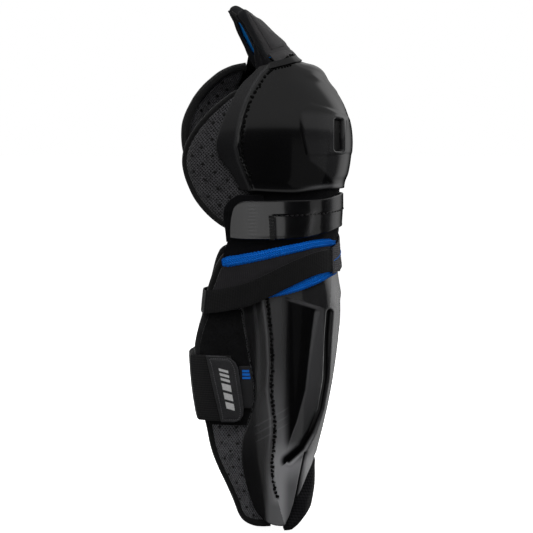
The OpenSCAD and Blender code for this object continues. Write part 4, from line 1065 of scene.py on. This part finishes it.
# wide lower strap: root, bend and tab
LZ, LH = 109, 62
def low_line(e, o):
    z = LZ + e*LH
    a = skin(SHIN, np.linspace(104, 150, 40), z, 0.4 + o); b = skin(SHIN, -np.linspace(153, 151.4, 4), z, 0.4 + o)
    t = np.linspace(0, 1, 30)[1:-1, None]; m = a[-1]*(1 - t) + b[0]*t - np.array([3.4, 0, 0])*np.sin(np.pi*t)**0.8
    return np.concatenate([a, m, b])
sheet(strap_mesh("lower_strap_elastic", low_line, 1.8, M["elastic"], "shin", ["lower_strap"]), 62, 175)
lb = ("shin", "lower_tab", tuple(skin(SHIN, -151.4, 140, 1.2)*MM), tuple(skin(SHIN, -145.5, 140, 1.2)*MM))
sheet(strap_mesh("lower_tab_elastic_strip", lambda e, o: skin(SHIN, -np.linspace(151.3, mix(119.5, 124.5, e), 44), LZ + e*LH, 0.4 + o), 1.8, M["elastic"], None, ["lower_tab_elastic"], lb), 62, 34)
cloth_patch("lower_strap_root", SHIN, lambda u, v: (mix(101, 122, u), mix(107, 173, v)), 16, 40, 2.5, 3.9, M["anchor"], "shin", ["lower_strap_anchor"], (24, 66))
segs = []
for (a0, a1, z0, z1) in ((102.5, 120.5, 109.5, 138), (102.5, 120.5, 142, 170.5)):
    for z in (z0, z1):
        segs += along(SHIN, lambda t, z=z: (mix(a0, a1, t), z + 0*t), 8, 4.0, 0.62)
    for a in (a0, a1):
        segs += along(SHIN, lambda t, a=a: (a + 0*t, mix(z0, z1, t)), 11, 4.0, 0.62)
    for za, zb in ((z0, z1), (z1, z0)):
        segs += along(SHIN, lambda t, za=za, zb=zb: (mix(a0, a1, t), mix(za, zb, t)), 13, 4.05, 0.62)
hook(capsules("lower_strap_root_stitches", segs, 0.45, M["grey_thread"]), "shin")


def tab_front(v):
    return np.interp(v, [0, 0.04, 0.10, 0.2, 0.82, 0.90, 0.96, 1], [124.5, 119.6, 117.0, 116.2, 119.3, 121.0, 124.2, 129])


def tab_detail(P, Z, Q):
    v = (Z - 108.5)/63; u = (-P - tab_front(v))/(mix(134.5, 141, v) - tab_front(v))
    d = np.minimum(np.minimum(u, 1 - u)*20, np.minimum(v, 1 - v)*63)
    return 0.25*ss(d, 0, 1.2) - 0.45*np.exp(-((d - 2.6)/0.7)**2) + 0.15*ss(d, 3.4, 4.6)


ob = patch("lower_tab_moulding", SHIN, lambda u, v: (-mix(tab_front(v), mix(134.5, 141, v), u), mix(108.5, 171.5, v)), 60, 110, 2.5, 4.6, M["tab"], (22, 63), r=1.0, detail=tab_detail)
hook(ob, "lower_tab", ["lower_tab_plate"])
ob = patch("lower_tab_hooks", SHIN, lambda u, v: (-mix(mix(121.5, 126, v), 139, u), mix(113, 167, v)), 20, 40, -1.5, 0.1, M["hook"], (18, 54), r=0.4)
hook(ob, "lower_tab", ["lower_tab_hook"])
segs = []
tf = lambda v, k: (-mix(tab_front(v), mix(134.5, 141, v), k), mix(108.5, 171.5, v))
segs += along(SHIN, lambda t: tf(mix(0.045, 0.955, t), 0.14), 30, 4.45, 0.6)
segs += along(SHIN, lambda t: tf(mix(0.045, 0.955, t), 0.87), 30, 4.45, 0.6)
for v in (0.045, 0.955):
    segs += along(SHIN, lambda t, v=v: (tf(v + 0*t, mix(0.14, 0.87, t))[0], tf(v + 0*t, 0.5)[1]), 8, 4.45, 0.6)
hook(capsules("lower_tab_stitches", segs, 0.42, M["grey_thread"]), "lower_tab")
# plain slanted bars stand in for the marking on the tab
Vb, Fb = [], []
for k, (v0, v1) in enumerate(((0.20, 0.30), (0.34, 0.44), (0.48, 0.58), (0.62, 0.66), (0.69, 0.73), (0.76, 0.80))):
    u = np.linspace(0, 1, 7)[:, None]; v = np.linspace(0, 1, 5)[None, :]
    vv = mix(v0, v1, v) + 0.035*(u - 0.5); uu = mix(0.36, 0.66, u) + 0*v
    P, Z = tf(vv, uu); A, B = skin(SHIN, P, Z, 4.6), skin(SHIN, P, Z, 5.25)
    hook(slab(f"lower_tab_bar_{k}", A, B, M["pale"], unroll(P, Z), 30), "lower_tab")

# woven label at the shell's edge
lab = cloth_patch("woven_label_cloth", SHIN, lambda u, v: (-mix(tab(SHELL_EDGE, mix(121, 161, v)) + 1.3, 118.7, u), mix(121, 161, v)), 14, 40, -1.6, -0.5, M["label"], "shin", ["woven_label"], (11, 40), r=0.4)
for k, z in enumerate((150.0, 153.2, 156.4)):
    P = lambda u, z=z: -mix(tab(SHELL_EDGE, z) + 3.0, 116.5, u)
    u = np.linspace(0, 1, 6)[:, None] + 0*np.zeros((1, 3)); Z = np.linspace(z - 1.1, z + 1.1, 3)[None, :] + 0*u
    hook(slab(f"woven_label_bar_{k}", skin(SHIN, P(u), Z, -0.6), skin(SHIN, P(u), Z, -0.25), M["blue_thread"], unroll(P(u), Z), 30), "shin")

# gaiters: cloth from the shell to the band and from the band to the cap
def ring_sheet(name, T1, z1, o1, T2, z2, o2, half, bulge, thick, blend, rep, nz=16, np_=90):
    p = np.linspace(-half, half, np_)[:, None]; t = np.linspace(0, 1, nz)[None, :]; a = np.abs(p)/half
    A1 = skin(T1, p + 0*t, z1(a) + 0*t, o1 + 0*(p + t)); A2 = skin(T2, p + 0*t, z2(a) + 0*t, o2 + 0*(p + t)); tt = t[..., None]
    n = unit(mix(normal(T1, p + 0*t, z1(a) + 0*t), normal(T2, p + 0*t, z2(a) + 0*t), tt)); n[..., 2] *= 0.3
    c = mix(A1, A2, tt) - n*(bulge*np.sin(np.pi*tt)) + n*0.25*np.sin(np.radians(p)[..., None]*26)*np.sin(np.pi*tt)
    ob = slab(name, c - n*thick/2, c + n*thick/2, M["dark"], unroll(p + 0*t, mix(z1(a), z2(a), t)), 60)
    hook(ob, None, rep, blend)
    L = float(np.linalg.norm(np.diff(c[:, nz//2], axis=0), axis=1).sum())
    return sheet(ob, L, float(np.linalg.norm(np.diff(c[np_//2], axis=0), axis=1).sum()))


sg = np.linspace(-1, 1, 150)[:, None]; t = np.linspace(0, 1, 22)[None, :]; a = np.abs(sg)
P1, P2 = sg*mix(134.5, 124, ss(sg, 0, 0.8)) + 0*t, sg*mix(127, 116, ss(sg, 0, 0.8)) + 0*t; k = ss(np.abs(P1), 113, 121)
Z1 = mix(256, 250, k) + 0*t; Z2 = mix(292, 285, ss(a, 0.1, 0.9)) + 0*t
A1 = skin(SHIN, P1, Z1, mix(-4.9, -2.3, k)); A2 = skin(KNEE, P2, Z2, -3.6 + 0*P2); tt = t[..., None]
n = unit(mix(normal(SHIN, P1, Z1), normal(KNEE, P2, Z2), tt)); n[..., 2] *= 0.3
# up along the wing first, then out to the band
w = np.where(k[..., None] > 0.5, ss(tt, 0.25, 1.0), tt)
c = np.stack([mix(A1, A2, w)[..., 0], mix(A1, A2, w)[..., 1], mix(A1, A2, tt)[..., 2]], -1)
c = c + n*1.5*(1 - ss(np.abs(P1), 20, 75))[..., None]*np.sin(np.pi*tt)
c = c + n*0.35*np.sin(np.radians(P1)[..., None]*23 + 2*tt)*np.sin(np.pi*tt) + n*0.45*np.sin(tt*17)*np.sin(np.pi*tt)
ob = slab("lower_gaiter_cloth", c - n*0.65, c + n*0.65, M["dark"], unroll(P1, mix(Z1, Z2, t)), 60)
hook(ob, None, ["lower_gaiter"], ("shin", "band", (-0.010, 0, 0.266), (-0.010, 0, 0.281))); sheet(ob, 300, 36)
ring_sheet("upper_gaiter_cloth", KNEE, lambda a: 308 + 4*(1 - a), -3.6, KNEE, lambda a: 333 + 0*a, -4.0, 108, 2.2, 1.3,
           ("band", "knee", (0, 0, 0.313), (0, 0, 0.330)), ["upper_gaiter"])

for sd, nm in ((-1, "right"), (1, "left")):
    ob = cloth_patch(f"band_collar_{nm}", KNEE, lambda u, v, sd=sd: (sd*mix(100, mix(129.5, 118, v**6) - (9 if sd > 0 else 0), u), mix(277, 321.5, v)), 30, 44, -4.4, -2.9, M["dark"], None, [], (34, 46),
                     blend=("band", "knee", (-0.03, 0, 0.294), (-0.03, 0, 0.314)), detail=lambda P, Z, Q: 0.3*np.sin(Z/2.3)*ss(np.abs(P), 118, 126))

# ------------------------------------------------------------------ thigh flap
def flap_grid(u, v, o):
    return flap(u, v, o)


us = ticks(50, 0.03, 3)*2 - 1; vs = mix(0.0, 0.93, ticks(26, 0.05, 3)); u, v = np.meshgrid(us*0.955, vs, indexing="ij")
d = np.minimum((0.955 - np.abs(u))*42, np.minimum(v, 0.93 - v)*50)
crown = 1.5*ss(d, 0, 9) - 1.0*(1 - ss(d, 0, 1.4)) - 0.5*np.exp(-((d - 4.2)/0.9)**2) - 0.4*np.exp(-((v - 0.11)*50/1.2)**2)
crown += 0.35*np.sin(u*7 + v*5)*ss(d, 3, 12)*np.sin(v*9 + 1.0)
ob = slab("flap_front_cover", flap(u, v, -2.2 + 0*u), flap(u, v, crown), M["nylon"], np.stack([u*42, v*50], -1), 50)
wts = np.concatenate([np.zeros(u.size), ss(d, 2, 10).ravel()*0.6])
puff(ob, lambda p: wts, 2.5, 1.0)
hook(ob, "thigh_flap", ["flap_plate"])
segs = []
def along_flap(uf, vf, n, o, share=0.6):
    t = np.linspace(0, 1, 300); pts = flap(uf(t), vf(t), o + 0*t); nn = unit(pts - flap(uf(t), vf(t), o - 1 + 0*t))
    L = np.concatenate([[0], np.cumsum(np.linalg.norm(np.diff(pts, axis=0), axis=1))]); L /= L[-1]; out = []
    for i in range(n):
        g = lambda s, arr: np.array([np.interp(s, L, arr[:, k]) for k in range(3)])
        out.append((g(i/n, pts), g((i + share)/n, pts), unit(g((i + 0.5*share)/n, nn))))
    return out
for s in (-1, 1):
    segs += along_flap(lambda t, s=s: s*mix(0.45, 0.86, t), lambda t: 0.11 + 0*t, 12, 0.55)
for s in (-1, 1):
    segs += along_flap(lambda t, s=s: s*0.855 + 0*t, lambda t: mix(0.11, 0.86, t), 18, 0.6)
hook(capsules("flap_stitches", segs, 0.45, M["thread"]), "thigh_flap")
us2 = ticks(26, 0.05, 2)*2 - 1; vs2 = mix(0.05, 0.94, ticks(16, 0.06, 2)); u2, v2 = np.meshgrid(us2*0.92, vs2, indexing="ij")
d2 = np.minimum((0.92 - np.abs(u2))*42, np.minimum(v2 - 0.05, 0.94 - v2)*50); k2 = ss(d2, 0, 8)
ob = slab("flap_foam", flap(u2, v2, -2.6 - 6.3*(0.6 + 0.4*k2)), flap(u2, v2, -2.6 + 0*u2), M["foam"], np.stack([u2*42, v2*50], -1), 0)
w2 = np.concatenate([k2.ravel()*0.5, 0*k2.ravel()]); puff(ob, lambda p: w2, 2.5, 0.6); hook(ob, "thigh_flap", ["flap_pad"])
u3, v3 = np.meshgrid((ticks(40, 0.04, 2)*2 - 1)*0.93, ticks(24, 0.05, 2), indexing="ij")
vl = mix(0.15, 0.0, ss(u3, 0.0, 0.6)); v3 = mix(vl, 0.89, v3)
d3 = np.minimum((0.93 - np.abs(u3))*42, np.minimum(v3 - vl, 0.89 - v3)*50)
c3 = -2.6 - 6.3*(0.6 + 0.4*ss(d3, 0, 8)) - 0.7 + 0.25*np.sin(v3*20)*ss(d3, 3, 9)
ob = slab("flap_lining_cloth", flap(u3, v3, c3 - 0.9), flap(u3, v3, c3), M["lining"], np.stack([u3*42, v3*50], -1), 60)
hook(ob, "thigh_flap", ["flap_lining"]); sheet(ob, 76, 44)
# bound edge: black gusset tape round both sides and the top
e = np.concatenate([np.stack([-1 + 0*np.linspace(-0.09, 0.88, 20), np.linspace(-0.09, 0.88, 20)], 1), [[-0.985, 0.955], [-0.93, 0.985]],
                    np.stack([np.linspace(-0.85, 0.85, 24), 1.0 + 0*np.linspace(0, 1, 24)], 1), [[0.93, 0.985], [0.985, 0.955]],
                    np.stack([1 + 0*np.linspace(0, 1, 20), np.linspace(0.88, -0.09, 20)], 1)])
e = smooth_path(e*np.array([42, 50]), 200)/np.array([42, 50])
fs = ss(e[:, 0], -0.9, 0.9); mid = 1 - ss(np.abs(e[:, 1] - 0.42), 0.25, 0.5)
up_ = ss(e[:, 1], 0.55, 0.9)
pth = flap(e[:, 0]*0.975, e[:, 1]*0.94, mix(-4.3, -7.2, fs*(1 - up_)) + 0*e[:, 0]); nn = unit(flap(e[:, 0], e[:, 1], 1.0 + 0*e[:, 0]) - flap(e[:, 0], e[:, 1], 0*e[:, 0]))
hook(tube("flap_gusset_tape", pth, 2.2, mix(4.3, 4.2, fs) - 0.9*mid*(1 - fs), nn, M["gusset"], 20), "thigh_flap", ["flap_binding"])
k = slice(70, 131); hook(tube("flap_top_piping", flap(e[k, 0]*0.99, e[k, 1]*1.01, -10.6 + 0*e[k, 0]), 1.0, 1.0, nn[k], M["bind"], 10), "thigh_flap")
uu, vv = np.meshgrid(mix(-0.93, 0.93, ticks(40, 0.04, 2)), mix(0.79, 0.925, ticks(8, 0.1, 2)), indexing="ij")
ob = slab("flap_top_binding", flap(uu, vv, -11.0 + 0*uu), flap(uu, vv, -9.0 - 0.3*np.sin(uu*9)), M["gusset"], np.stack([uu*42, vv*50], -1), 50)
hook(ob, "thigh_flap"); sheet(ob, 80, 10.6)
for sd, nm in ((-1, "right"), (1, "left")):
    aa, vb = np.meshgrid(ticks(10, 0.1, 2), mix(0.0, 0.86, ticks(34, 0.04, 2)), indexing="ij")
    ui = 0.91 - 0.15*ss(vb, 0.5, 0.88) - 0.05*(1 - ss(vb, -0.05, 0.25))
    uo = mix(1.0, 0.93, ss(vb, 0.1, 0.8)); ub = mix(ui, uo, aa) if sd > 0 else -mix(uo, ui, aa)
    ob = slab(f"flap_side_binding_{nm}", flap(ub, vb, -11.3 + 0*ub), flap(ub, vb, -9.3 - 0.2*np.sin(vb*21)), M["gusset"], np.stack([ub*42, vb*50], -1), 50)
    hook(ob, "thigh_flap"); sheet(ob, 46, 10.6)
# cloth hinge from the cap's top edge to the flap
s = np.linspace(-1, 1, 70)[:, None]; t = np.linspace(0, 1, 14)[None, :]
P0 = s*84 + 0*t; zc = cap_z(np.abs(s)*84/101, 1) - 4.0 + 0*t
A1 = skin(KNEE, P0, zc, 0.9 + top_dip(P0, zc)); A2 = flap(s*0.93 + 0*t, 0.07 + 0*(s + t), -1.6 + 0*(s + t)); tt = t[..., None]
n1 = normal(KNEE, P0, zc); n2 = unit(flap(s*0.93 + 0*t, 0.07 + 0*(s + t), 1 + 0*(s + t)) - flap(s*0.93 + 0*t, 0.07 + 0*(s + t), 0*(s + t))); n = unit(mix(n1, n2, tt))
c = mix(A1, A2, tt) + n*(0.8*np.sin(np.pi*tt)) + n*0.2*np.sin(s[..., None]*30)*np.sin(np.pi*tt)
ob = slab("flap_hinge_cloth", c - n*0.7, c + n*0.7, M["nylon"], np.stack([s*50 + 0*t, t*12 + 0*s], -1), 60)
hook(ob, None, (), ("knee", "thigh_flap", (0.016, 0, 0.4515), (0.016, 0, 0.4605))); sheet(ob, 105, 12)
for sd, nm in ((-1, "right"), (1, "left")):
    a_ = np.linspace(0, 1, 26)[:, None]; b_ = np.linspace(0, 1, 12)[None, :]
    F_ = flap(sd*0.93 + 0*(a_ + b_), mix(-0.02, 0.26 if sd > 0 else 0.46, a_) + 0*b_, -7.0 + 0*(a_ + b_)); pe = mix(84, 102 if sd > 0 else 103, a_) + 0*b_
    G_ = skin(KNEE, sd*pe, mix(447, 437, a_**1.4) + 0*b_, -5.5 + 0*pe); bb = b_[..., None]
    c_ = mix(F_, G_, bb); n_ = unit(np.cross(np.gradient(c_, axis=0), np.gradient(c_, axis=1)))*sd
    c_ = c_ + n_*(0.35*np.sin(a_*19 + 3*b_)*np.sin(np.pi*b_))[..., None]
    ob = slab(f"flap_side_cloth_{nm}", c_ - n_*0.7, c_ + n_*0.7, M["dark"], np.stack([a_*28 + 0*b_, b_*16 + 0*a_], -1), 60)
    hook(ob, None, (), ("knee", "thigh_flap", (0.0, sd*0.045, 0.444), (0.0, sd*0.045, 0.456))); sheet(ob, 28, 16)
ob = patch("flap_seam_tape", KNEE, lambda u, v: ((2*u - 1)*92, cap_z(np.abs(2*u - 1)*92/101, 1) + mix(-6.5, -0.4, v)), 90, 8, 0.2, 1.9, M["flange"], (110, 8), r=0.8, detail=lambda P, Z, Q: top_dip(P, Z))
hook(ob, "knee", ["flap_seam_strip"])
segs = []
for sd in (-1, 1):
    b0 = 68
    g = lambda t, sd=sd, b0=b0: (sd*mix(b0, 90, t), cap_z(mix(b0, 90, t)/101, 1) - 7.4 + 0.7*np.sin(t*37))
    segs += along(KNEE, g, 7, lambda P, Z: 0.5 + top_dip(P, Z), 0.6)
hook(capsules("flap_seam_stitches", segs, 0.85, M["stitch"], wob=0.3), "knee")

# ------------------------------------------------------------------ stage, lights, camera
def mesh_plain(name, V, F, mat):
    me = bpy.data.meshes.new(name); me.from_pydata(V, [], F); ob = bpy.data.objects.new(name, me)
    bpy.context.scene.collection.objects.link(ob); me.materials.append(mat); me.polygons.foreach_set("use_smooth", [True]*len(me.polygons)); return ob


fl = Net("floor_paper"); fl.coords("Object"); floor_mat = fl.set(Base_Color=(0.9, 0.9, 0.9, 1), Roughness=0.95, Specular_IOR_Level=0.0)
nt = floor_mat.node_tree; fo = next(n for n in nt.nodes if n.type == "OUTPUT_MATERIAL"); sh = fo.inputs[0].links[0].from_socket
em = nt.nodes.new("ShaderNodeEmission"); em.inputs[0].default_value = (1, 1, 1, 1); em.inputs[1].default_value = 0.93
ad = nt.nodes.new("ShaderNodeAddShader"); fm = nt.nodes.new("ShaderNodeMixShader"); fp = nt.nodes.new("ShaderNodeLightPath")
nt.links.new(sh, ad.inputs[0]); nt.links.new(em.outputs[0], ad.inputs[1]); nt.links.new(fp.outputs["Is Camera Ray"], fm.inputs[0])
nt.links.new(sh, fm.inputs[1]); nt.links.new(ad.outputs[0], fm.inputs[2]); nt.links.new(fm.outputs[0], fo.inputs[0])
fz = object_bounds()[0][2] - 0.0005
g = [(12*math.cos(i*math.pi/32), 12*math.sin(i*math.pi/32), fz) for i in range(64)]
floor = mesh_plain("floor", g, [tuple(range(64))], floor_mat)
floor.visible_glossy = False; floor.visible_diffuse = False

W = bpy.data.worlds.new("studio"); bpy.context.scene.world = W; W.use_nodes = True; wt = W.node_tree; wt.nodes.clear()


def wn(kind, *ins, **att):
    n = wt.nodes.new(kind)
    for k, v in att.items():
        setattr(n, k, v)
    for k, v in enumerate(ins):
        if isinstance(v, bpy.types.NodeSocket):
            wt.links.new(v, n.inputs[k])
        elif v is not None:
            n.inputs[k].default_value = v
    return n.outputs[0]


def wstep(x, a, b):
    """Smooth 0 to 1 as x goes from a to b."""
    n = wt.nodes.new("ShaderNodeMapRange"); n.interpolation_type = "SMOOTHSTEP"; wt.links.new(x, n.inputs[0])
    lo, hi = (a, b) if a < b else (b, a)
    n.inputs[1].default_value, n.inputs[2].default_value = lo, hi
    n.inputs[3].default_value, n.inputs[4].default_value = (0.0, 1.0) if a < b else (1.0, 0.0)
    return n.outputs[0]


# studio as the gloss sees it: grey ceiling bank, dark lower left, pale wall on the right
ge = wt.nodes.new("ShaderNodeTexCoord").outputs["Generated"]
dr = wt.nodes.new("ShaderNodeVectorMath"); dr.operation = "DOT_PRODUCT"; wt.links.new(ge, dr.inputs[0]); dr.inputs[1].default_value = (0.9925, -0.1219, 0); rx = dr.outputs["Value"]
dz = wt.nodes.new("ShaderNodeVectorMath"); dz.operation = "DOT_PRODUCT"; wt.links.new(ge, dz.inputs[0]); dz.inputs[1].default_value = (0, 0, 1); rz = dz.outputs["Value"]
mu = lambda a, b: wn("ShaderNodeMath", a, b, operation="MULTIPLY")
plus = lambda a, b: wn("ShaderNodeMath", a, b, operation="ADD")
most = lambda a, b: wn("ShaderNodeMath", a, b, operation="MAXIMUM")
dy = wt.nodes.new("ShaderNodeVectorMath"); dy.operation = "DOT_PRODUCT"; wt.links.new(ge, dy.inputs[0]); dy.inputs[1].default_value = (0.1219, 0.9925, 0); ry = dy.outputs["Value"]
ceil = mu(wstep(rz, 0.07, 0.13), 0.27)
edge_ = mu(mu(mu(wstep(rx, 0.35, 0.8), wstep(ry, 0.25, 0.5)), wstep(rz, -0.55, -0.2)), 0.45)
lft = mu(wstep(rx, -0.80, -0.97), 0.22)
env = plus(plus(ceil, edge_), plus(lft, 0.010))
lp = wt.nodes.new("ShaderNodeLightPath").outputs
cam_ray, glo = lp["Is Camera Ray"], lp["Is Glossy Ray"]
strength = plus(mu(glo, env), mu(wn("ShaderNodeMath", 1.0, glo, operation="SUBTRACT"), 0.14))
strength = plus(mu(cam_ray, 1.0), mu(wn("ShaderNodeMath", 1.0, cam_ray, operation="SUBTRACT"), strength))
bg = wt.nodes.new("ShaderNodeBackground"); bg.inputs[0].default_value = (1, 1, 1, 1); wt.links.new(strength, bg.inputs[1])
wo = wt.nodes.new("ShaderNodeOutputWorld"); wt.links.new(bg.outputs[0], wo.inputs[0])


def area(name, loc, target, size, power, glossy=False, spread=180):
    L = bpy.data.lights.new(name, "AREA"); L.shape = "RECTANGLE"; L.size, L.size_y = size; L.energy = power; L.spread = math.radians(spread)
    ob = bpy.data.objects.new(name, L); bpy.context.scene.collection.objects.link(ob); ob.location = loc
    ob.rotation_euler = (Vector(target) - Vector(loc)).to_track_quat("-Z", "Y").to_euler(); ob.visible_glossy = glossy; ob.visible_camera = False
    return ob


C = (0.0, 0.0, 0.26)
area("key_top", (-0.2, -1.2, 1.9), C, (1.6, 1.0), 18)
area("front_bank", (1.6, -0.5, 0.5), C, (0.8, 1.6), 9)
area("left_fill", (-1.7, -1.5, 0.9), C, (0.9, 1.4), 6)
area("back_rim", (0.3, 1.8, 0.9), C, (1.4, 1.6), 20)


def card(name, f0, f1, e0, e1, radiance, to, d=3.0):
    """Pale reflector between azimuths f0..f1 from the camera and elevations e0..e1, lighting only some pieces."""
    fc, ec = math.radians((f0 + f1)/2), math.radians((e0 + e1)/2)
    bh, rt = Vector((-0.1219, -0.9925, 0)), Vector((0.9925, -0.1219, 0))
    dirn = (bh*math.cos(fc) + rt*math.sin(fc))*math.cos(ec) + Vector((0, 0, math.sin(ec)))
    w, h = 2*d*math.tan(math.radians((f1 - f0)/2)), 2*d*math.tan(math.radians((e1 - e0)/2))
    ob = area(name, Vector(C) + dirn*d, C, (w, h), radiance*math.pi*w*h, True)
    col = bpy.data.collections.new(name + "_on")
    for x in to:
        col.objects.link(x)
    ob.light_linking.receiver_collection = col
    return ob


card("cap_wall", 30, 84, -60, 3, 0.06, [cap])
card("band_right", 62, 84, -30, 10, 0.40, [band])
card("shell_rim", 104, 164, -24, 24, 0.30, [shell])
card("band_wall", -74, 22, -24, 4, 0.95, [band])
card("shell_wall", 8, 52, -32, 6, 0.22, [shell])
card("shell_left", -80, -28, -20, 4, 0.05, [shell])

cam = bpy.data.cameras.new("camera"); cam.sensor_width = 36; cam.lens = 184; cam.clip_end = 50
co = bpy.data.objects.new("camera", cam); bpy.context.scene.collection.objects.link(co); bpy.context.scene.camera = co
az, el, dist = math.radians(-7), math.radians(4), 2.6
back = Vector((math.sin(az)*math.cos(el), -math.cos(az)*math.cos(el), math.sin(el))); tgt = Vector((0.0014, 0, 0.2503))
co.location = tgt + back*dist; co.rotation_euler = (-back).to_track_quat("-Z", "Y").to_euler()
bpy.context.scene.view_settings.view_transform = "Standard"
